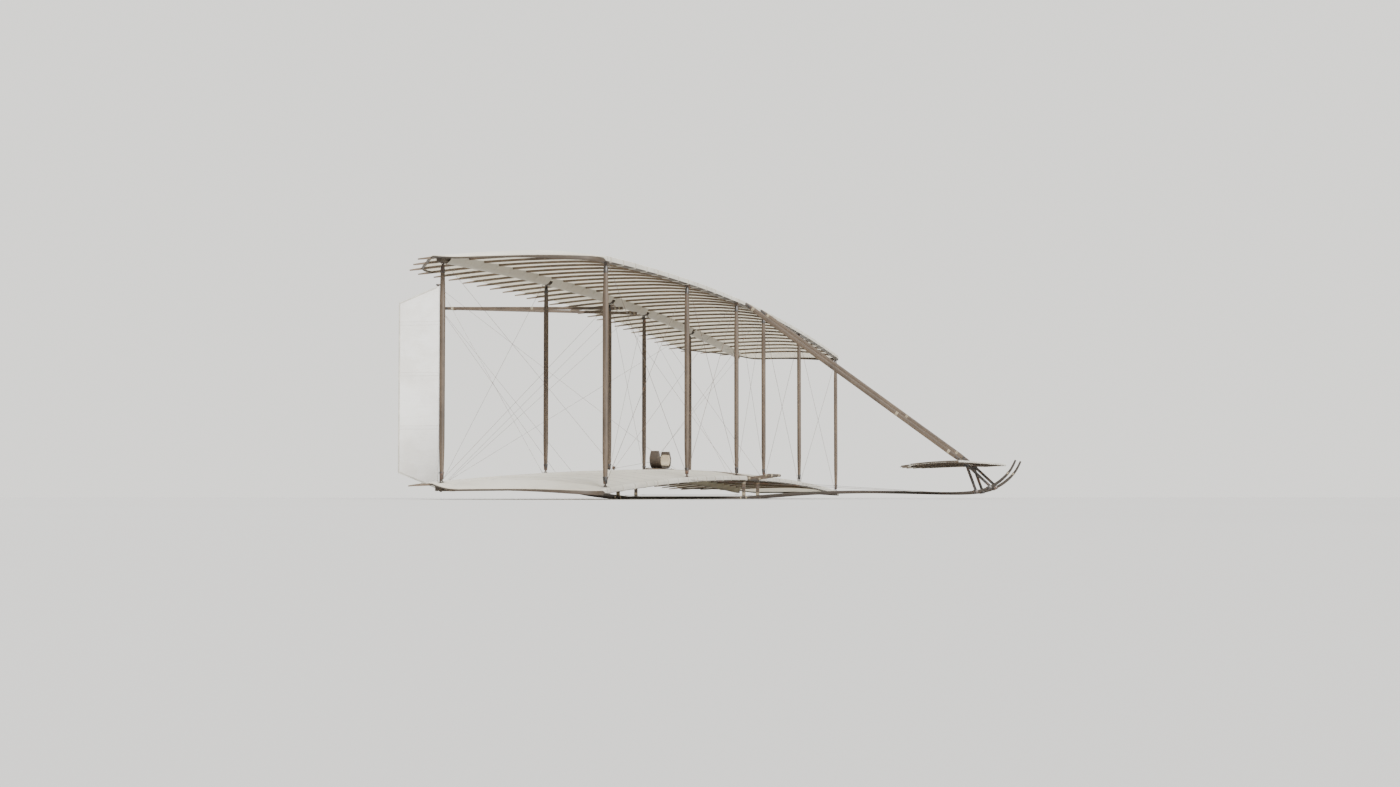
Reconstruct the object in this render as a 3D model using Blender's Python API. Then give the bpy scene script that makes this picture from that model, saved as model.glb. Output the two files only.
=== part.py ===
"""A biplane glider at full size: two cloth-covered wings on struts, two landing skids
that carry a pivoted elevator in front, and a hinged rudder on booms behind.
Metres, +X to the port wing tip, +Y aft, +Z up. The floor is at Z = 0 and the skids stand on it."""

import math

import bmesh
import bpy
from mathutils import Vector

# The wings, measured from the lower wing's leading edge
HALF_SPAN = 4.889
TIP_DROOP = 0.120
RIB_TAIL = 1.5265
CLOTH_END = 1.445
CREST_HEIGHT = 0.060
CREST_PLACE = 0.33
WING_GAP = 1.37
CLOTH = 0.0024

# Where the wing's own zero lies: its leading edge and its chord line above the floor
LEADING_EDGE_Y = -0.4371
CHORD_LINE_Z = 0.168

# The gap between touching pieces, the share by which a joined bar is thinner than what it meets,
# and how far a cutter reaches past what it cuts
SEAT = 0.0004
STEP = 0.001
REACH = 0.5

# The spars and ribs: places and sections
FRONT_SPAR_Y = 0.020
FRONT_SPAR_Z = -0.006
FRONT_SPAR_WIDE = 0.040
FRONT_SPAR_DEEP = 0.036
FRONT_SPAR_END = 4.800
REAR_SPAR_Y = 1.035
REAR_SPAR_Z = 0.0145
REAR_SPAR_WIDE = 0.034
REAR_SPAR_DEEP = 0.035
REAR_SPAR_END = 4.715
RIB_WIDE = 0.014
RIB_DEEP = 0.016
RIB_NOSE = 0.015
INNER_RIB = 0.280
TIP_RIB = 4.614
RIBS_A_SIDE = 15
BOW_WIDE = 0.014
BOW_DEEP_FRONT = 0.030
BOW_DEEP_REAR = 0.012
BOW_TAPER_END = 0.60

# Stations where a spar bends down, and rows where a rib bends over its camber
STATIONS = (0.0, 1.2, 2.4, 3.6, HALF_SPAN)
ROWS = (0.0, 0.08, 0.17, 0.27, 0.38, 0.51, 0.65, 0.80, 0.945, 1.10, 1.27, CLOTH_END, RIB_TAIL)

# The outline of a wing tip: round the front corner, back, and in along the bow
TIP_STRAIGHT = 0.850
TIP_CORNER = ((4.745, 0.006), (4.815, 0.024), (4.866, 0.080), (HALF_SPAN, 0.170))
TIP_CURVE = ((HALF_SPAN, TIP_STRAIGHT), (4.872, 0.905), (4.835, 0.955), (4.775, 1.010), (4.700, 1.065),
             (4.600, 1.130), (4.450, 1.200), (4.300, 1.262), (4.150, 1.330), (4.000, 1.392), (3.850, 1.430),
             (3.685, CLOTH_END))

# The bows lie flatter than the ribs: from here the camber fades to this share of itself at the tip
FLATTER_FROM = 4.665
TIP_CAMBER = 0.30

# The struts between the wings
STRUT_PLACES = (0.5855, 2.384, 4.645)
FRONT_STRUT_Y = 0.022
STRUT_WIDE = 0.024
STRUT_LONG = 0.036
STRUT_END = 0.65
STRUT_TAPER = 0.06
STRUT_SIDES = 10

# The skids and what stands on them
SKID_X = 0.300
SKID_WIDE = 0.024
SKID_DEEP = 0.022
SKID_LINE = -CHORD_LINE_Z + SKID_DEEP / 2
SKID_FRONT = ((-2.096, 0.130), (-2.060, 0.060), (-2.010, 0.000), (-1.940, -0.055),
              (-1.850, -0.098), (-1.740, -0.118), (-1.570, -0.125), (-1.250, -0.118),
              (-0.850, -0.113), (-0.450, -0.124), (-0.150, -0.145), (0.000, SKID_LINE))
SKID_REAR = ((1.100, SKID_LINE), (1.300, -0.131), (1.500, -0.085))
SKID = SKID_FRONT + SKID_REAR
SKID_POST = 0.024

# The elevator's hinge line, brackets and outriggers
HINGE_Y = -1.720
HINGE_Z = 0.100
HINGE_BAR = 0.009
BORE = 0.0095
HUB = 0.022
ROUND_SIDES = 16
FORE_FOOT = -1.895
REAR_FOOT = -1.790
LEG_WIDE = 0.021
BRACKET_ARM = 0.100
ARM_WIDE = 0.026
BRACKET_IN = 0.300
BRACKET_THICK = 0.018
OUTRIGGER_WIDE = 0.022
OUTRIGGER_DEEP = 0.036
OUTRIGGER_START = 0.040

# The elevator, measured from its hinge line
ELEVATOR_HALF = 1.370
ELEVATOR_FRONT = ((-0.040, ELEVATOR_HALF), (-0.150, 0.820), (-0.222, 0.490), (-0.262, 0.240),
                  (-0.278, 0.0))
ELEVATOR_REAR = ((-0.015, ELEVATOR_HALF), (0.300, 0.970), (0.372, 0.800), (0.412, 0.610),
                 (0.445, 0.320), (0.455, 0.0))
EDGE_WIDE = 0.015
EDGE_INSET = 0.007
ELEVATOR_RIBS = (0.150, 0.450, 0.720, 0.980)
ELEVATOR_RIB_TAIL = 0.060
ELEVATOR_RIB_WIDE = 0.012
ELEVATOR_RIB_DEEP = 0.012
ELEVATOR_CAMBER = 0.12
ELEVATOR_ROWS = (-0.30, -0.18, -0.06, 0.06, 0.18, 0.32, 0.52)
SLOT_X = (0.288, 0.354)
SLOT_Y = (-0.070, 0.130)

# The tail: booms, post and rudder
BOOM = 0.022
BOOM_DROP = 0.0028
BOOM_SHORT = 0.002
POST_Y = 2.611
POST = 0.022
POST_FOOT = -0.112
POST_HEAD = 1.612
UPPER_BOOM_X = 0.250
UPPER_BOOM_START = REAR_SPAR_Y - 0.020
UPPER_BOOM_Z = WING_GAP + REAR_SPAR_Z - (REAR_SPAR_DEEP + BOOM) / 2 - BOOM_DROP
UPPER_BOOM_END = WING_GAP + 0.030
LOWER_BOOM_END = -0.095
RUDDER_Y = 2.645
RUDDER_FOOT = -0.085
RUDDER_HEAD = 1.585
RUDDER_REAR = 2.980
RUDDER_TAPER = 0.130
RUDDER_SKIN = 0.0016
RUDDER_ROD = 0.009
RUDDER_RAIL = 0.016
RUDDER_FRONT = 0.010
PIN = 0.006
PIN_LONG = 0.020
EYE_BORE = 0.0065
EYE = 0.017
EYE_THICK = 0.012
EYE_GAP = 0.006
EYE_ARM = 0.008

# The pilot's place: cradle and its board, hand bar and foot bar
BOARD_Y = 0.760
BOARD_HALF = INNER_RIB + 0.010
BOARD_WIDE = 0.100
BOARD_THICK = 0.016
YOKE_THICK = 0.016
YOKE_WIDE = 0.090
YOKE = ((0.190, 0.138), (0.190, 0.068), (0.170, 0.030), (0.125, YOKE_THICK / 2))
HAND_BAR = (0.260, -0.170, 0.020)
HAND_ARM_X = 0.220
HAND_ARM = 0.018
FOOT_BAR_Y = 1.270
FOOT_BAR_HALF = INNER_RIB + 0.012
GRIP = 0.011

# The wires
STAY = 0.0015
STAY_SIDES = 6
FLYING_Y = 0.013
LANDING_Y = 0.031
SKID_STAY_Y = -1.570

WOOD = ("spruce", (0.46, 0.33, 0.20, 1), 0.62, 0.0)
CLOTH_LOOK = ("muslin", (0.80, 0.76, 0.67, 1), 0.92, 0.0)
STEEL = ("dark_steel", (0.10, 0.10, 0.11, 1), 0.45, 0.9)


def clear_scene():
    for thing in list(bpy.data.objects):
        bpy.data.objects.remove(thing, do_unlink=True)


def make_material(name, look):
    """A plain finish of its own for each sub-part."""
    kind, colour, roughness, metallic = look
    material = bpy.data.materials.new(f"{name}_{kind}")
    material.use_nodes = True
    shader = material.node_tree.nodes["Principled BSDF"]
    shader.inputs["Base Color"].default_value = colour
    shader.inputs["Roughness"].default_value = roughness
    shader.inputs["Metallic"].default_value = metallic
    material.diffuse_color = colour
    return material


def make_object(name, shape, parent=None):
    """A mesh object from one closed shape, its faces pointing out."""
    points, faces = shape
    mesh = bpy.data.meshes.new(name)
    mesh.from_pydata([tuple(point) for point in points], [], faces)
    shell = bmesh.new()
    shell.from_mesh(mesh)
    bmesh.ops.recalc_face_normals(shell, faces=shell.faces)
    shell.to_mesh(mesh)
    shell.free()
    made = bpy.data.objects.new(name, mesh)
    bpy.context.scene.collection.objects.link(made)
    made.parent = parent
    return made


def hide(helper):
    """A cutter or an added shape works through its Boolean and doesn't show itself."""
    helper.hide_render = True
    helper.display_type = "WIRE"


def boolean(made, name, operation, shapes):
    """Adds one Boolean that joins, cuts or keeps the shapes, held together in a collection."""
    group = bpy.data.collections.new(f"{made.name}_{name}")
    for number, shape in enumerate(shapes):
        helper = make_object(f"{made.name}_{name}_{number}", shape, made.parent)
        bpy.context.scene.collection.objects.unlink(helper)
        group.objects.link(helper)
        hide(helper)
    bpy.context.scene.collection.children.link(group)
    modifier = made.modifiers.new(name, "BOOLEAN")
    modifier.operation = operation
    modifier.solver = "EXACT"
    modifier.operand_type = "COLLECTION"
    modifier.collection = group


def piece(name, look, shapes, parent, cuts=()):
    """One sub-part: the first shape, joined with the others and cut by the cuts."""
    made = make_object(name, shapes[0], parent)
    made.data.materials.append(make_material(name, look))
    if len(shapes) > 1:
        boolean(made, "join", "UNION", shapes[1:])
    if cuts:
        boolean(made, "cut", "DIFFERENCE", cuts)
    return made


def bar(path, side, wide, deep, cuts=(None, None)):
    """A square-edged bar along a path. Its width lies along side, its depth across both.
    wide and deep are one size or a size for each point. A cut is the normal of an end face."""
    path = [Vector(point) for point in path]
    side = Vector(side).normalized()
    wides = wide if isinstance(wide, (list, tuple)) else [wide] * len(path)
    deeps = deep if isinstance(deep, (list, tuple)) else [deep] * len(path)
    last = len(path) - 1
    points = []
    for number, place in enumerate(path):
        into = (path[max(number, 1)] - path[max(number, 1) - 1]).normalized()
        out = (path[min(number, last - 1) + 1] - path[min(number, last - 1)]).normalized()
        along = (into + out).normalized()
        across = side.cross(along).normalized()
        mitre = 1 / across.dot(side.cross(into).normalized())
        half_wide = side * wides[number] / 2
        half_deep = across * deeps[number] / 2 * mitre
        ring = [half_wide + half_deep, -half_wide + half_deep,
                -half_wide - half_deep, half_wide - half_deep]
        cut = cuts[0] if number == 0 else cuts[1] if number == last else None
        if cut is not None:
            cut = Vector(cut)
            ring = [corner - along * corner.dot(cut) / along.dot(cut) for corner in ring]
        points += [place + corner for corner in ring]
    faces = [(0, 1, 2, 3), tuple(4 * last + corner for corner in (3, 2, 1, 0))]
    for number in range(last):
        for corner in range(4):
            following = (corner + 1) % 4
            faces.append((4 * number + corner, 4 * number + 4 + corner,
                          4 * number + 4 + following, 4 * number + following))
    return points, faces


def rod(start, end, radius, sides=8, shares=((0.0, 1.0), (1.0, 1.0)), flat=1.0):
    """A round rod from start to end. Each share is (how far along, part of the radius), and
    flat widens it across into an oval."""
    start, end = Vector(start), Vector(end)
    along = (end - start).normalized()
    guide = Vector((0, 1, 0)) if abs(along.x) > abs(along.y) + abs(along.z) else Vector((1, 0, 0))
    first = (guide - along * guide.dot(along)).normalized()
    second = along.cross(first)
    points = []
    for share, part in shares:
        for number in range(sides):
            turn = 2 * math.pi * (number + 0.5) / sides
            offset = first * math.cos(turn) + second * math.sin(turn) * flat
            points.append(start.lerp(end, share) + offset * radius * part)
    last = len(shares) - 1
    faces = [tuple(range(sides)), tuple(last * sides + n for n in reversed(range(sides)))]
    for ring in range(last):
        for number in range(sides):
            following = (number + 1) % sides
            faces.append((ring * sides + number, ring * sides + following,
                          ring * sides + sides + following, ring * sides + sides + number))
    return points, faces


def prism(outline, low, high, axis):
    """An outline pushed from low to high along axis 0, 1 or 2, its points given in the other two."""
    points = []
    for level in (low, high):
        for first, second in outline:
            place = [first, second]
            place.insert(axis, level)
            points.append(Vector(place))
    count = len(outline)
    faces = [tuple(range(count)), tuple(reversed(range(count, 2 * count)))]
    for number in range(count):
        following = (number + 1) % count
        faces.append((number, count + number, count + following, following))
    return points, faces


def box(low, high):
    return prism([(low[0], low[1]), (high[0], low[1]), (high[0], high[1]), (low[0], high[1])],
                 low[2], high[2], 2)


def between(value, places, height):
    """Height at a value, straight between the named places, which keeps stacked pieces parallel."""
    for low, high in zip(places, places[1:]):
        if value <= high:
            share = (value - low) / (high - low)
            return height(low) + share * (height(high) - height(low))
    return height(places[-1])


def camber_at(row):
    """The ribs' curve: a rise to the crest, and a longer fall to the tail."""
    share = row / RIB_TAIL
    if share < CREST_PLACE:
        return CREST_HEIGHT * (2 * CREST_PLACE * share - share ** 2) / CREST_PLACE ** 2
    fall = 1 - 2 * CREST_PLACE + 2 * CREST_PLACE * share - share ** 2
    return CREST_HEIGHT * fall / (1 - CREST_PLACE) ** 2


def camber(row):
    return between(row, ROWS, camber_at)


def tip_share(span):
    """The share of the camber that is left at a place along the span."""
    out = max(0.0, (abs(span) - FLATTER_FROM) / (HALF_SPAN - FLATTER_FROM))
    return 1 - (1 - TIP_CAMBER) * out


def droop(span):
    return between(abs(span), STATIONS, lambda place: -TIP_DROOP * (place / HALF_SPAN) ** 2)


def drooped(shape, level=0.0):
    """The shape with each point lowered as the wing droops, at the level of its wing."""
    points, faces = shape
    return [point + Vector((0, 0, droop(point.x) + level)) for point in points], faces


def rib_places():
    step = (TIP_RIB - INNER_RIB) / (RIBS_A_SIDE - 1)
    return [INNER_RIB + number * step for number in range(RIBS_A_SIDE)]


def tail_of(span):
    """How far back the cloth reaches at a place along the span."""
    for (outer, front), (inner, rear) in zip(TIP_CURVE, TIP_CURVE[1:]):
        if inner <= span <= outer:
            return front + (rear - front) * (outer - span) / (outer - inner)
    return CLOTH_END


def spar(place, height, wide, deep, end):
    """A spar from tip to tip, with a point at each station where it bends."""
    spans = [station for station in STATIONS if station < end] + [end]
    spans = [-span for span in reversed(spans[1:])] + spans
    return bar([(span, place, height) for span in spans], (0, 1, 0), wide, deep)


def rib(span, side):
    """One rib, bent over the camber, from inside the front spar to its tail behind the cloth."""
    end = min(RIB_TAIL, tail_of(span) + RIB_TAIL - CLOTH_END)
    rows = [RIB_NOSE] + [row for row in ROWS[1:] if row < end] + [end]
    path = [(side * span, row, camber(row) - RIB_DEEP / 2) for row in rows]
    return bar(path, (1, 0, 0), RIB_WIDE, RIB_DEEP)


def tip_bow(side):
    """The bent strip round a wing tip, from the front spar's end to the rear, and thinner there."""
    sides = [(HALF_SPAN, row) for row in ROWS if TIP_CORNER[-1][1] < row < TIP_STRAIGHT]
    outline = [Vector((span, row, 0)) for span, row in (*TIP_CORNER, *sides, *TIP_CURVE)]
    path = []
    depths = []
    for number, corner in enumerate(outline):
        along = outline[min(number + 1, len(outline) - 1)] - outline[max(number - 1, 0)]
        inward = Vector((-along.y, along.x, 0)).normalized() * (BOW_WIDE / 2 + STEP)
        deep = BOW_DEEP_FRONT + (BOW_DEEP_REAR - BOW_DEEP_FRONT) * min(1.0, corner.y / BOW_TAPER_END)
        top = camber(corner.y) * tip_share(corner.x) - STEP
        path.append((side * (corner.x + inward.x), corner.y + inward.y, top - deep / 2))
        depths.append(deep)
    return bar(path, (0, 0, 1), depths, BOW_WIDE)


def wing_frame(name, level, middle_rib, parent):
    """Spars, ribs and tip bows of one wing, joined where the ribs cross the spars."""
    shapes = [spar(FRONT_SPAR_Y, FRONT_SPAR_Z, FRONT_SPAR_WIDE, FRONT_SPAR_DEEP, FRONT_SPAR_END),
              spar(REAR_SPAR_Y, REAR_SPAR_Z, REAR_SPAR_WIDE, REAR_SPAR_DEEP, REAR_SPAR_END)]
    for side in (-1, 1):
        shapes += [rib(span, side) for span in rib_places()]
        shapes.append(tip_bow(side))
    if middle_rib:
        shapes.append(rib(0.0, 1))
    piece(name, WOOD, [drooped(shape, level) for shape in shapes], parent)


def wing_cover(name, level, inner, outer, parent):
    """The cloth from one span to another, laid over the ribs and trimmed to the wing's outline."""
    low, high = min(inner, outer), max(inner, outer)
    bends = (*STATIONS, FLATTER_FROM, (FLATTER_FROM + HALF_SPAN) / 2)
    spans = [side * bend for side in (-1, 1) for bend in bends]
    spans = sorted({low, high} | {span for span in spans if low < span < high})
    rows = [row for row in ROWS if row < RIB_TAIL]
    front = FRONT_SPAR_Y + FRONT_SPAR_WIDE / 2 + SEAT
    tip = [corner for corner in TIP_CORNER if corner[1] > front] + list(TIP_CURVE)
    (inside, ahead), (outside, behind) = TIP_CORNER[1:3]
    tip.insert(0, (inside + (outside - inside) * (front - ahead) / (behind - ahead), front))
    outline = tip if high == HALF_SPAN else [(high, front), (high, CLOTH_END)]
    if low == -HALF_SPAN:
        outline = outline + [(-span, row) for span, row in reversed(tip)]
    else:
        outline = outline + [(low, CLOTH_END), (low, front)]
    points = []
    for lift in (SEAT, SEAT + CLOTH):
        for span in spans:
            height = droop(span) + level + lift
            points += [Vector((span, row, camber(row) * tip_share(span) + height)) for row in rows]
    across, back = len(spans), len(rows)
    layer = across * back
    faces = []
    for column in range(across - 1):
        for row in range(back - 1):
            corner = column * back + row
            a, b, c, d = corner, corner + 1, corner + back + 1, corner + back
            facets = [(a, b, c, d)]
            if max(abs(spans[column]), abs(spans[column + 1])) > FLATTER_FROM:
                ridge = points[a].z + points[c].z > points[b].z + points[d].z
                facets = [(a, b, c), (a, c, d)] if ridge else [(a, b, d), (b, c, d)]
            for facet in facets:
                faces += [facet, tuple(layer + corner for corner in reversed(facet))]
    rim = [column * back for column in range(across)]
    rim += [(across - 1) * back + row for row in range(1, back)]
    rim += [column * back + back - 1 for column in range(across - 2, -1, -1)]
    rim += list(range(back - 2, 0, -1))
    for here, following in zip(rim, rim[1:] + rim[:1]):
        faces.append((here, layer + here, layer + following, following))
    made = make_object(name, (points, faces), parent)
    made.data.materials.append(make_material(name, CLOTH_LOOK))
    boolean(made, "trim", "INTERSECT", [prism(outline, level - REACH, level + REACH, 2)])


def strut(name, span, place, foot, head, parent):
    """One upright between the wings: an oval stick with drawn-in ends."""
    low = Vector((span, place, foot + droop(span) + SEAT))
    high = Vector((span, place, head + droop(span) - SEAT))
    shares = ((0.0, STRUT_END), (STRUT_TAPER, 1.0), (1 - STRUT_TAPER, 1.0), (1.0, STRUT_END))
    shape = rod(low, high, STRUT_WIDE / 2, STRUT_SIDES, shares, STRUT_LONG / STRUT_WIDE)
    piece(name, WOOD, [shape], parent)


def struts(parent):
    front_foot = FRONT_SPAR_Z + FRONT_SPAR_DEEP / 2
    front_head = WING_GAP + FRONT_SPAR_Z - FRONT_SPAR_DEEP / 2
    rear_foot = camber(REAR_SPAR_Y - STRUT_LONG / 2) + SEAT + CLOTH
    rear_head = WING_GAP + REAR_SPAR_Z - REAR_SPAR_DEEP / 2
    for side, where in ((-1, "starboard"), (1, "port")):
        for place, span in zip(("inner", "middle", "outer"), STRUT_PLACES):
            strut(f"strut_front_{place}_{where}", side * span, FRONT_STRUT_Y,
                  front_foot, front_head, parent)
            strut(f"strut_rear_{place}_{where}", side * span, REAR_SPAR_Y,
                  rear_foot, rear_head, parent)


def skid_top(row):
    """The height of the skid's upper side at a row, and the way that side faces there."""
    for (front, low), (rear, high) in zip(SKID, SKID[1:]):
        if front <= row <= rear:
            along = Vector((0, rear - front, high - low)).normalized()
            up = Vector((0, -along.z, along.y))
            middle = low + (high - low) * (row - front) / (rear - front)
            return middle + (SKID_DEEP / 2 + SEAT) / along.y, up


def skids(parent):
    """The runners, their short posts under the spars, and the elevator's brackets."""
    posts = {"front": (FRONT_SPAR_Y, FRONT_SPAR_Z - FRONT_SPAR_DEEP / 2),
             "rear": (REAR_SPAR_Y, REAR_SPAR_Z - REAR_SPAR_DEEP / 2)}
    outer = SKID_X + SKID_POST / 2
    for side, where in ((-1, "starboard"), (1, "port")):
        path = [(side * SKID_X, row, height) for row, height in SKID]
        piece(f"skid_{where}", WOOD, [bar(path, (1, 0, 0), SKID_WIDE, SKID_DEEP)], parent)
        for place, (row, head) in posts.items():
            foot, _ = skid_top(row)
            low = (side * SKID_X - SKID_POST / 2, row - SKID_POST / 2, foot)
            high = (side * SKID_X + SKID_POST / 2, row + SKID_POST / 2, head + droop(outer) - SEAT)
            piece(f"skid_post_{place}_{where}", WOOD, [box(low, high)], parent)
        bracket(f"elevator_bracket_{where}", side, parent)
        outrigger(f"elevator_outrigger_{where}", side, parent)


def bracket(name, side, parent):
    """A forked standard on the skid that carries one end of the elevator's hinge bar."""
    middle = side * (BRACKET_IN + BRACKET_THICK / 2)
    hub = Vector((middle, HINGE_Y, HINGE_Z))
    across = Vector((BRACKET_THICK / 2, 0, 0))
    shapes = [rod(hub - across, hub + across, HUB, ROUND_SIDES)]
    for row in (FORE_FOOT, REAR_FOOT):
        height, up = skid_top(row)
        leg = [hub, (middle, row, height)]
        shapes.append(bar(leg, (1, 0, 0), BRACKET_THICK - 2 * STEP, LEG_WIDE, (None, up)))
    arm = [hub, hub + outrigger_way() * BRACKET_ARM]
    shapes.append(bar(arm, (1, 0, 0), BRACKET_THICK - 2 * STEP, ARM_WIDE))
    bore = rod(hub - across * 2, hub + across * 2, BORE, ROUND_SIDES)
    piece(name, STEEL, shapes, parent, [bore])


def outrigger_way():
    """The way that the outriggers run, from the elevator's hinge up to the upper front spar."""
    start = Vector((0, HINGE_Y, HINGE_Z))
    end = Vector((0, 0, WING_GAP + FRONT_SPAR_Z))
    return (end - start).normalized()


def outrigger(name, side, parent):
    """The long stick from the upper front spar down to the bracket's upper arm."""
    middle = side * (BRACKET_IN + BRACKET_THICK + SEAT + OUTRIGGER_WIDE / 2)
    way = outrigger_way()
    start = Vector((middle, HINGE_Y, HINGE_Z)) + way * OUTRIGGER_START
    end = start + way * (-SEAT - start.y) / way.y
    shape = bar([start, end], (1, 0, 0), OUTRIGGER_WIDE, OUTRIGGER_DEEP, (None, (0, 1, 0)))
    piece(name, WOOD, [shape], parent)


def elevator_lift(row):
    return between(row, ELEVATOR_ROWS, lambda place: -ELEVATOR_CAMBER * place ** 2)


def lifted(shape, height):
    """The shape bent over the elevator's curve, at a height above its hinge line."""
    points, faces = shape
    return [point + Vector((0, 0, elevator_lift(point.y) + height)) for point in points], faces


def edge_at(edge, span):
    """Where one edge of the elevator lies at a place along its span."""
    for (row, outer), (following, inner) in zip(edge, edge[1:]):
        if inner <= span <= outer:
            return row + (following - row) * (outer - span) / (outer - inner)
    return edge[-1][0]


def elevator(parent):
    """The pivoted surface: edge strips, ribs and hinge bar, with a cloth laid over them."""
    pivot = bpy.data.objects.new("elevator_pivot", None)
    bpy.context.scene.collection.objects.link(pivot)
    pivot.parent = parent
    pivot.location = (0, HINGE_Y, HINGE_Z)
    middle = ELEVATOR_RIB_DEEP / 2
    end = Vector((ELEVATOR_RIBS[1], 0, 0))
    shapes = [rod(-end, end, HINGE_BAR, ROUND_SIDES)]
    for edge, inset in ((ELEVATOR_FRONT, EDGE_INSET), (ELEVATOR_REAR, -EDGE_INSET)):
        path = [(-span, row + inset, 0) for row, span in edge]
        path += [(-x, row, z) for x, row, z in reversed(path[:-1])]
        shapes.append(lifted(bar(path, (0, 0, 1), ELEVATOR_RIB_DEEP - STEP, EDGE_WIDE), middle))
    for side in (-1, 1):
        for span in ELEVATOR_RIBS:
            front = edge_at(ELEVATOR_FRONT, span) + EDGE_INSET
            rear = edge_at(ELEVATOR_REAR, span) + ELEVATOR_RIB_TAIL
            rows = [front] + [row for row in ELEVATOR_ROWS if front < row < rear] + [rear]
            path = [(side * span, row, 0) for row in rows]
            rib_bar = bar(path, (1, 0, 0), ELEVATOR_RIB_WIDE, ELEVATOR_RIB_DEEP)
            shapes.append(lifted(rib_bar, middle))
    piece("elevator_frame", WOOD, shapes, pivot)

    points = []
    for lift in (ELEVATOR_RIB_DEEP + SEAT, ELEVATOR_RIB_DEEP + SEAT + CLOTH):
        for span in (-ELEVATOR_HALF - REACH, ELEVATOR_HALF + REACH):
            points += [Vector((span, row, elevator_lift(row) + lift)) for row in ELEVATOR_ROWS]
    rows = len(ELEVATOR_ROWS)
    faces = []
    for row in range(rows - 1):
        around = (row, row + 1, row + 1 + rows, row + rows)
        faces += [around, tuple(corner + 2 * rows for corner in reversed(around))]
    rim = list(range(rows)) + list(range(2 * rows - 1, rows - 1, -1))
    for here, following in zip(rim, rim[1:] + rim[:1]):
        faces.append((here, here + 2 * rows, following + 2 * rows, following))
    cover = make_object("elevator_cover", (points, faces), pivot)
    cover.data.materials.append(make_material("elevator_cover", CLOTH_LOOK))
    outline = [(span, row) for row, span in ELEVATOR_FRONT]
    outline += [(-span, row) for row, span in reversed(ELEVATOR_FRONT[:-1])]
    outline += [(-span, row) for row, span in ELEVATOR_REAR]
    outline += [(span, row) for row, span in reversed(ELEVATOR_REAR[:-1])]
    boolean(cover, "trim", "INTERSECT", [prism(outline, -REACH, REACH, 2)])
    slots = []
    for side in (-1, 1):
        low, high = sorted((side * SLOT_X[0], side * SLOT_X[1]))
        slots.append(box((low, SLOT_Y[0], -REACH), (high, SLOT_Y[1], REACH)))
    boolean(cover, "slots", "DIFFERENCE", slots)


def boom(side, start, height, front_cut):
    """A boom whose slanted end lies flat on the post's flank and stops short of its rear face."""
    beside = side * (POST / 2 + SEAT)
    slant = (POST_Y - start.y) / abs(start.x - beside)
    end = Vector((beside, POST_Y + POST / 2 - BOOM_SHORT - slant * BOOM / 2, height))
    return bar([start, end], (0, 0, 1), BOOM, BOOM, (front_cut, (1, 0, 0)))


def tail(parent):
    """Two booms from the skids and two from the upper wing, closing on the rudder's post."""
    front = Vector((0, *SKID[-1]))
    skid_way = (front - Vector((0, *SKID[-2]))).normalized()
    for side, where in ((-1, "starboard"), (1, "port")):
        start = Vector((side * SKID_X, front.y, front.z)) + skid_way * SEAT
        shape = boom(side, start, LOWER_BOOM_END, skid_way)
        piece(f"tail_boom_lower_{where}", WOOD, [shape], parent)
        start = Vector((side * UPPER_BOOM_X, UPPER_BOOM_START, UPPER_BOOM_Z))
        piece(f"tail_boom_upper_{where}", WOOD, [boom(side, start, UPPER_BOOM_END, None)], parent)
    post = box((-POST / 2, POST_Y - POST / 2, POST_FOOT), (POST / 2, POST_Y + POST / 2, POST_HEAD))
    shapes = [post]
    cuts = []
    for height in (RUDDER_FOOT - EYE_GAP - EYE_THICK, RUDDER_HEAD + EYE_GAP):
        low = Vector((0, RUDDER_Y, height))
        high = Vector((0, RUDDER_Y, height + EYE_THICK))
        past = Vector((0, 0, EYE_THICK))
        shapes.append(rod(low, high, EYE, ROUND_SIDES))
        shapes.append(box((-EYE_ARM, POST_Y, height + STEP), (EYE_ARM, RUDDER_Y, height + EYE_THICK - STEP)))
        cuts.append(rod(low - past, high + past, EYE_BORE, ROUND_SIDES))
    piece("rudder_post", WOOD, shapes, parent, cuts)


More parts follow.
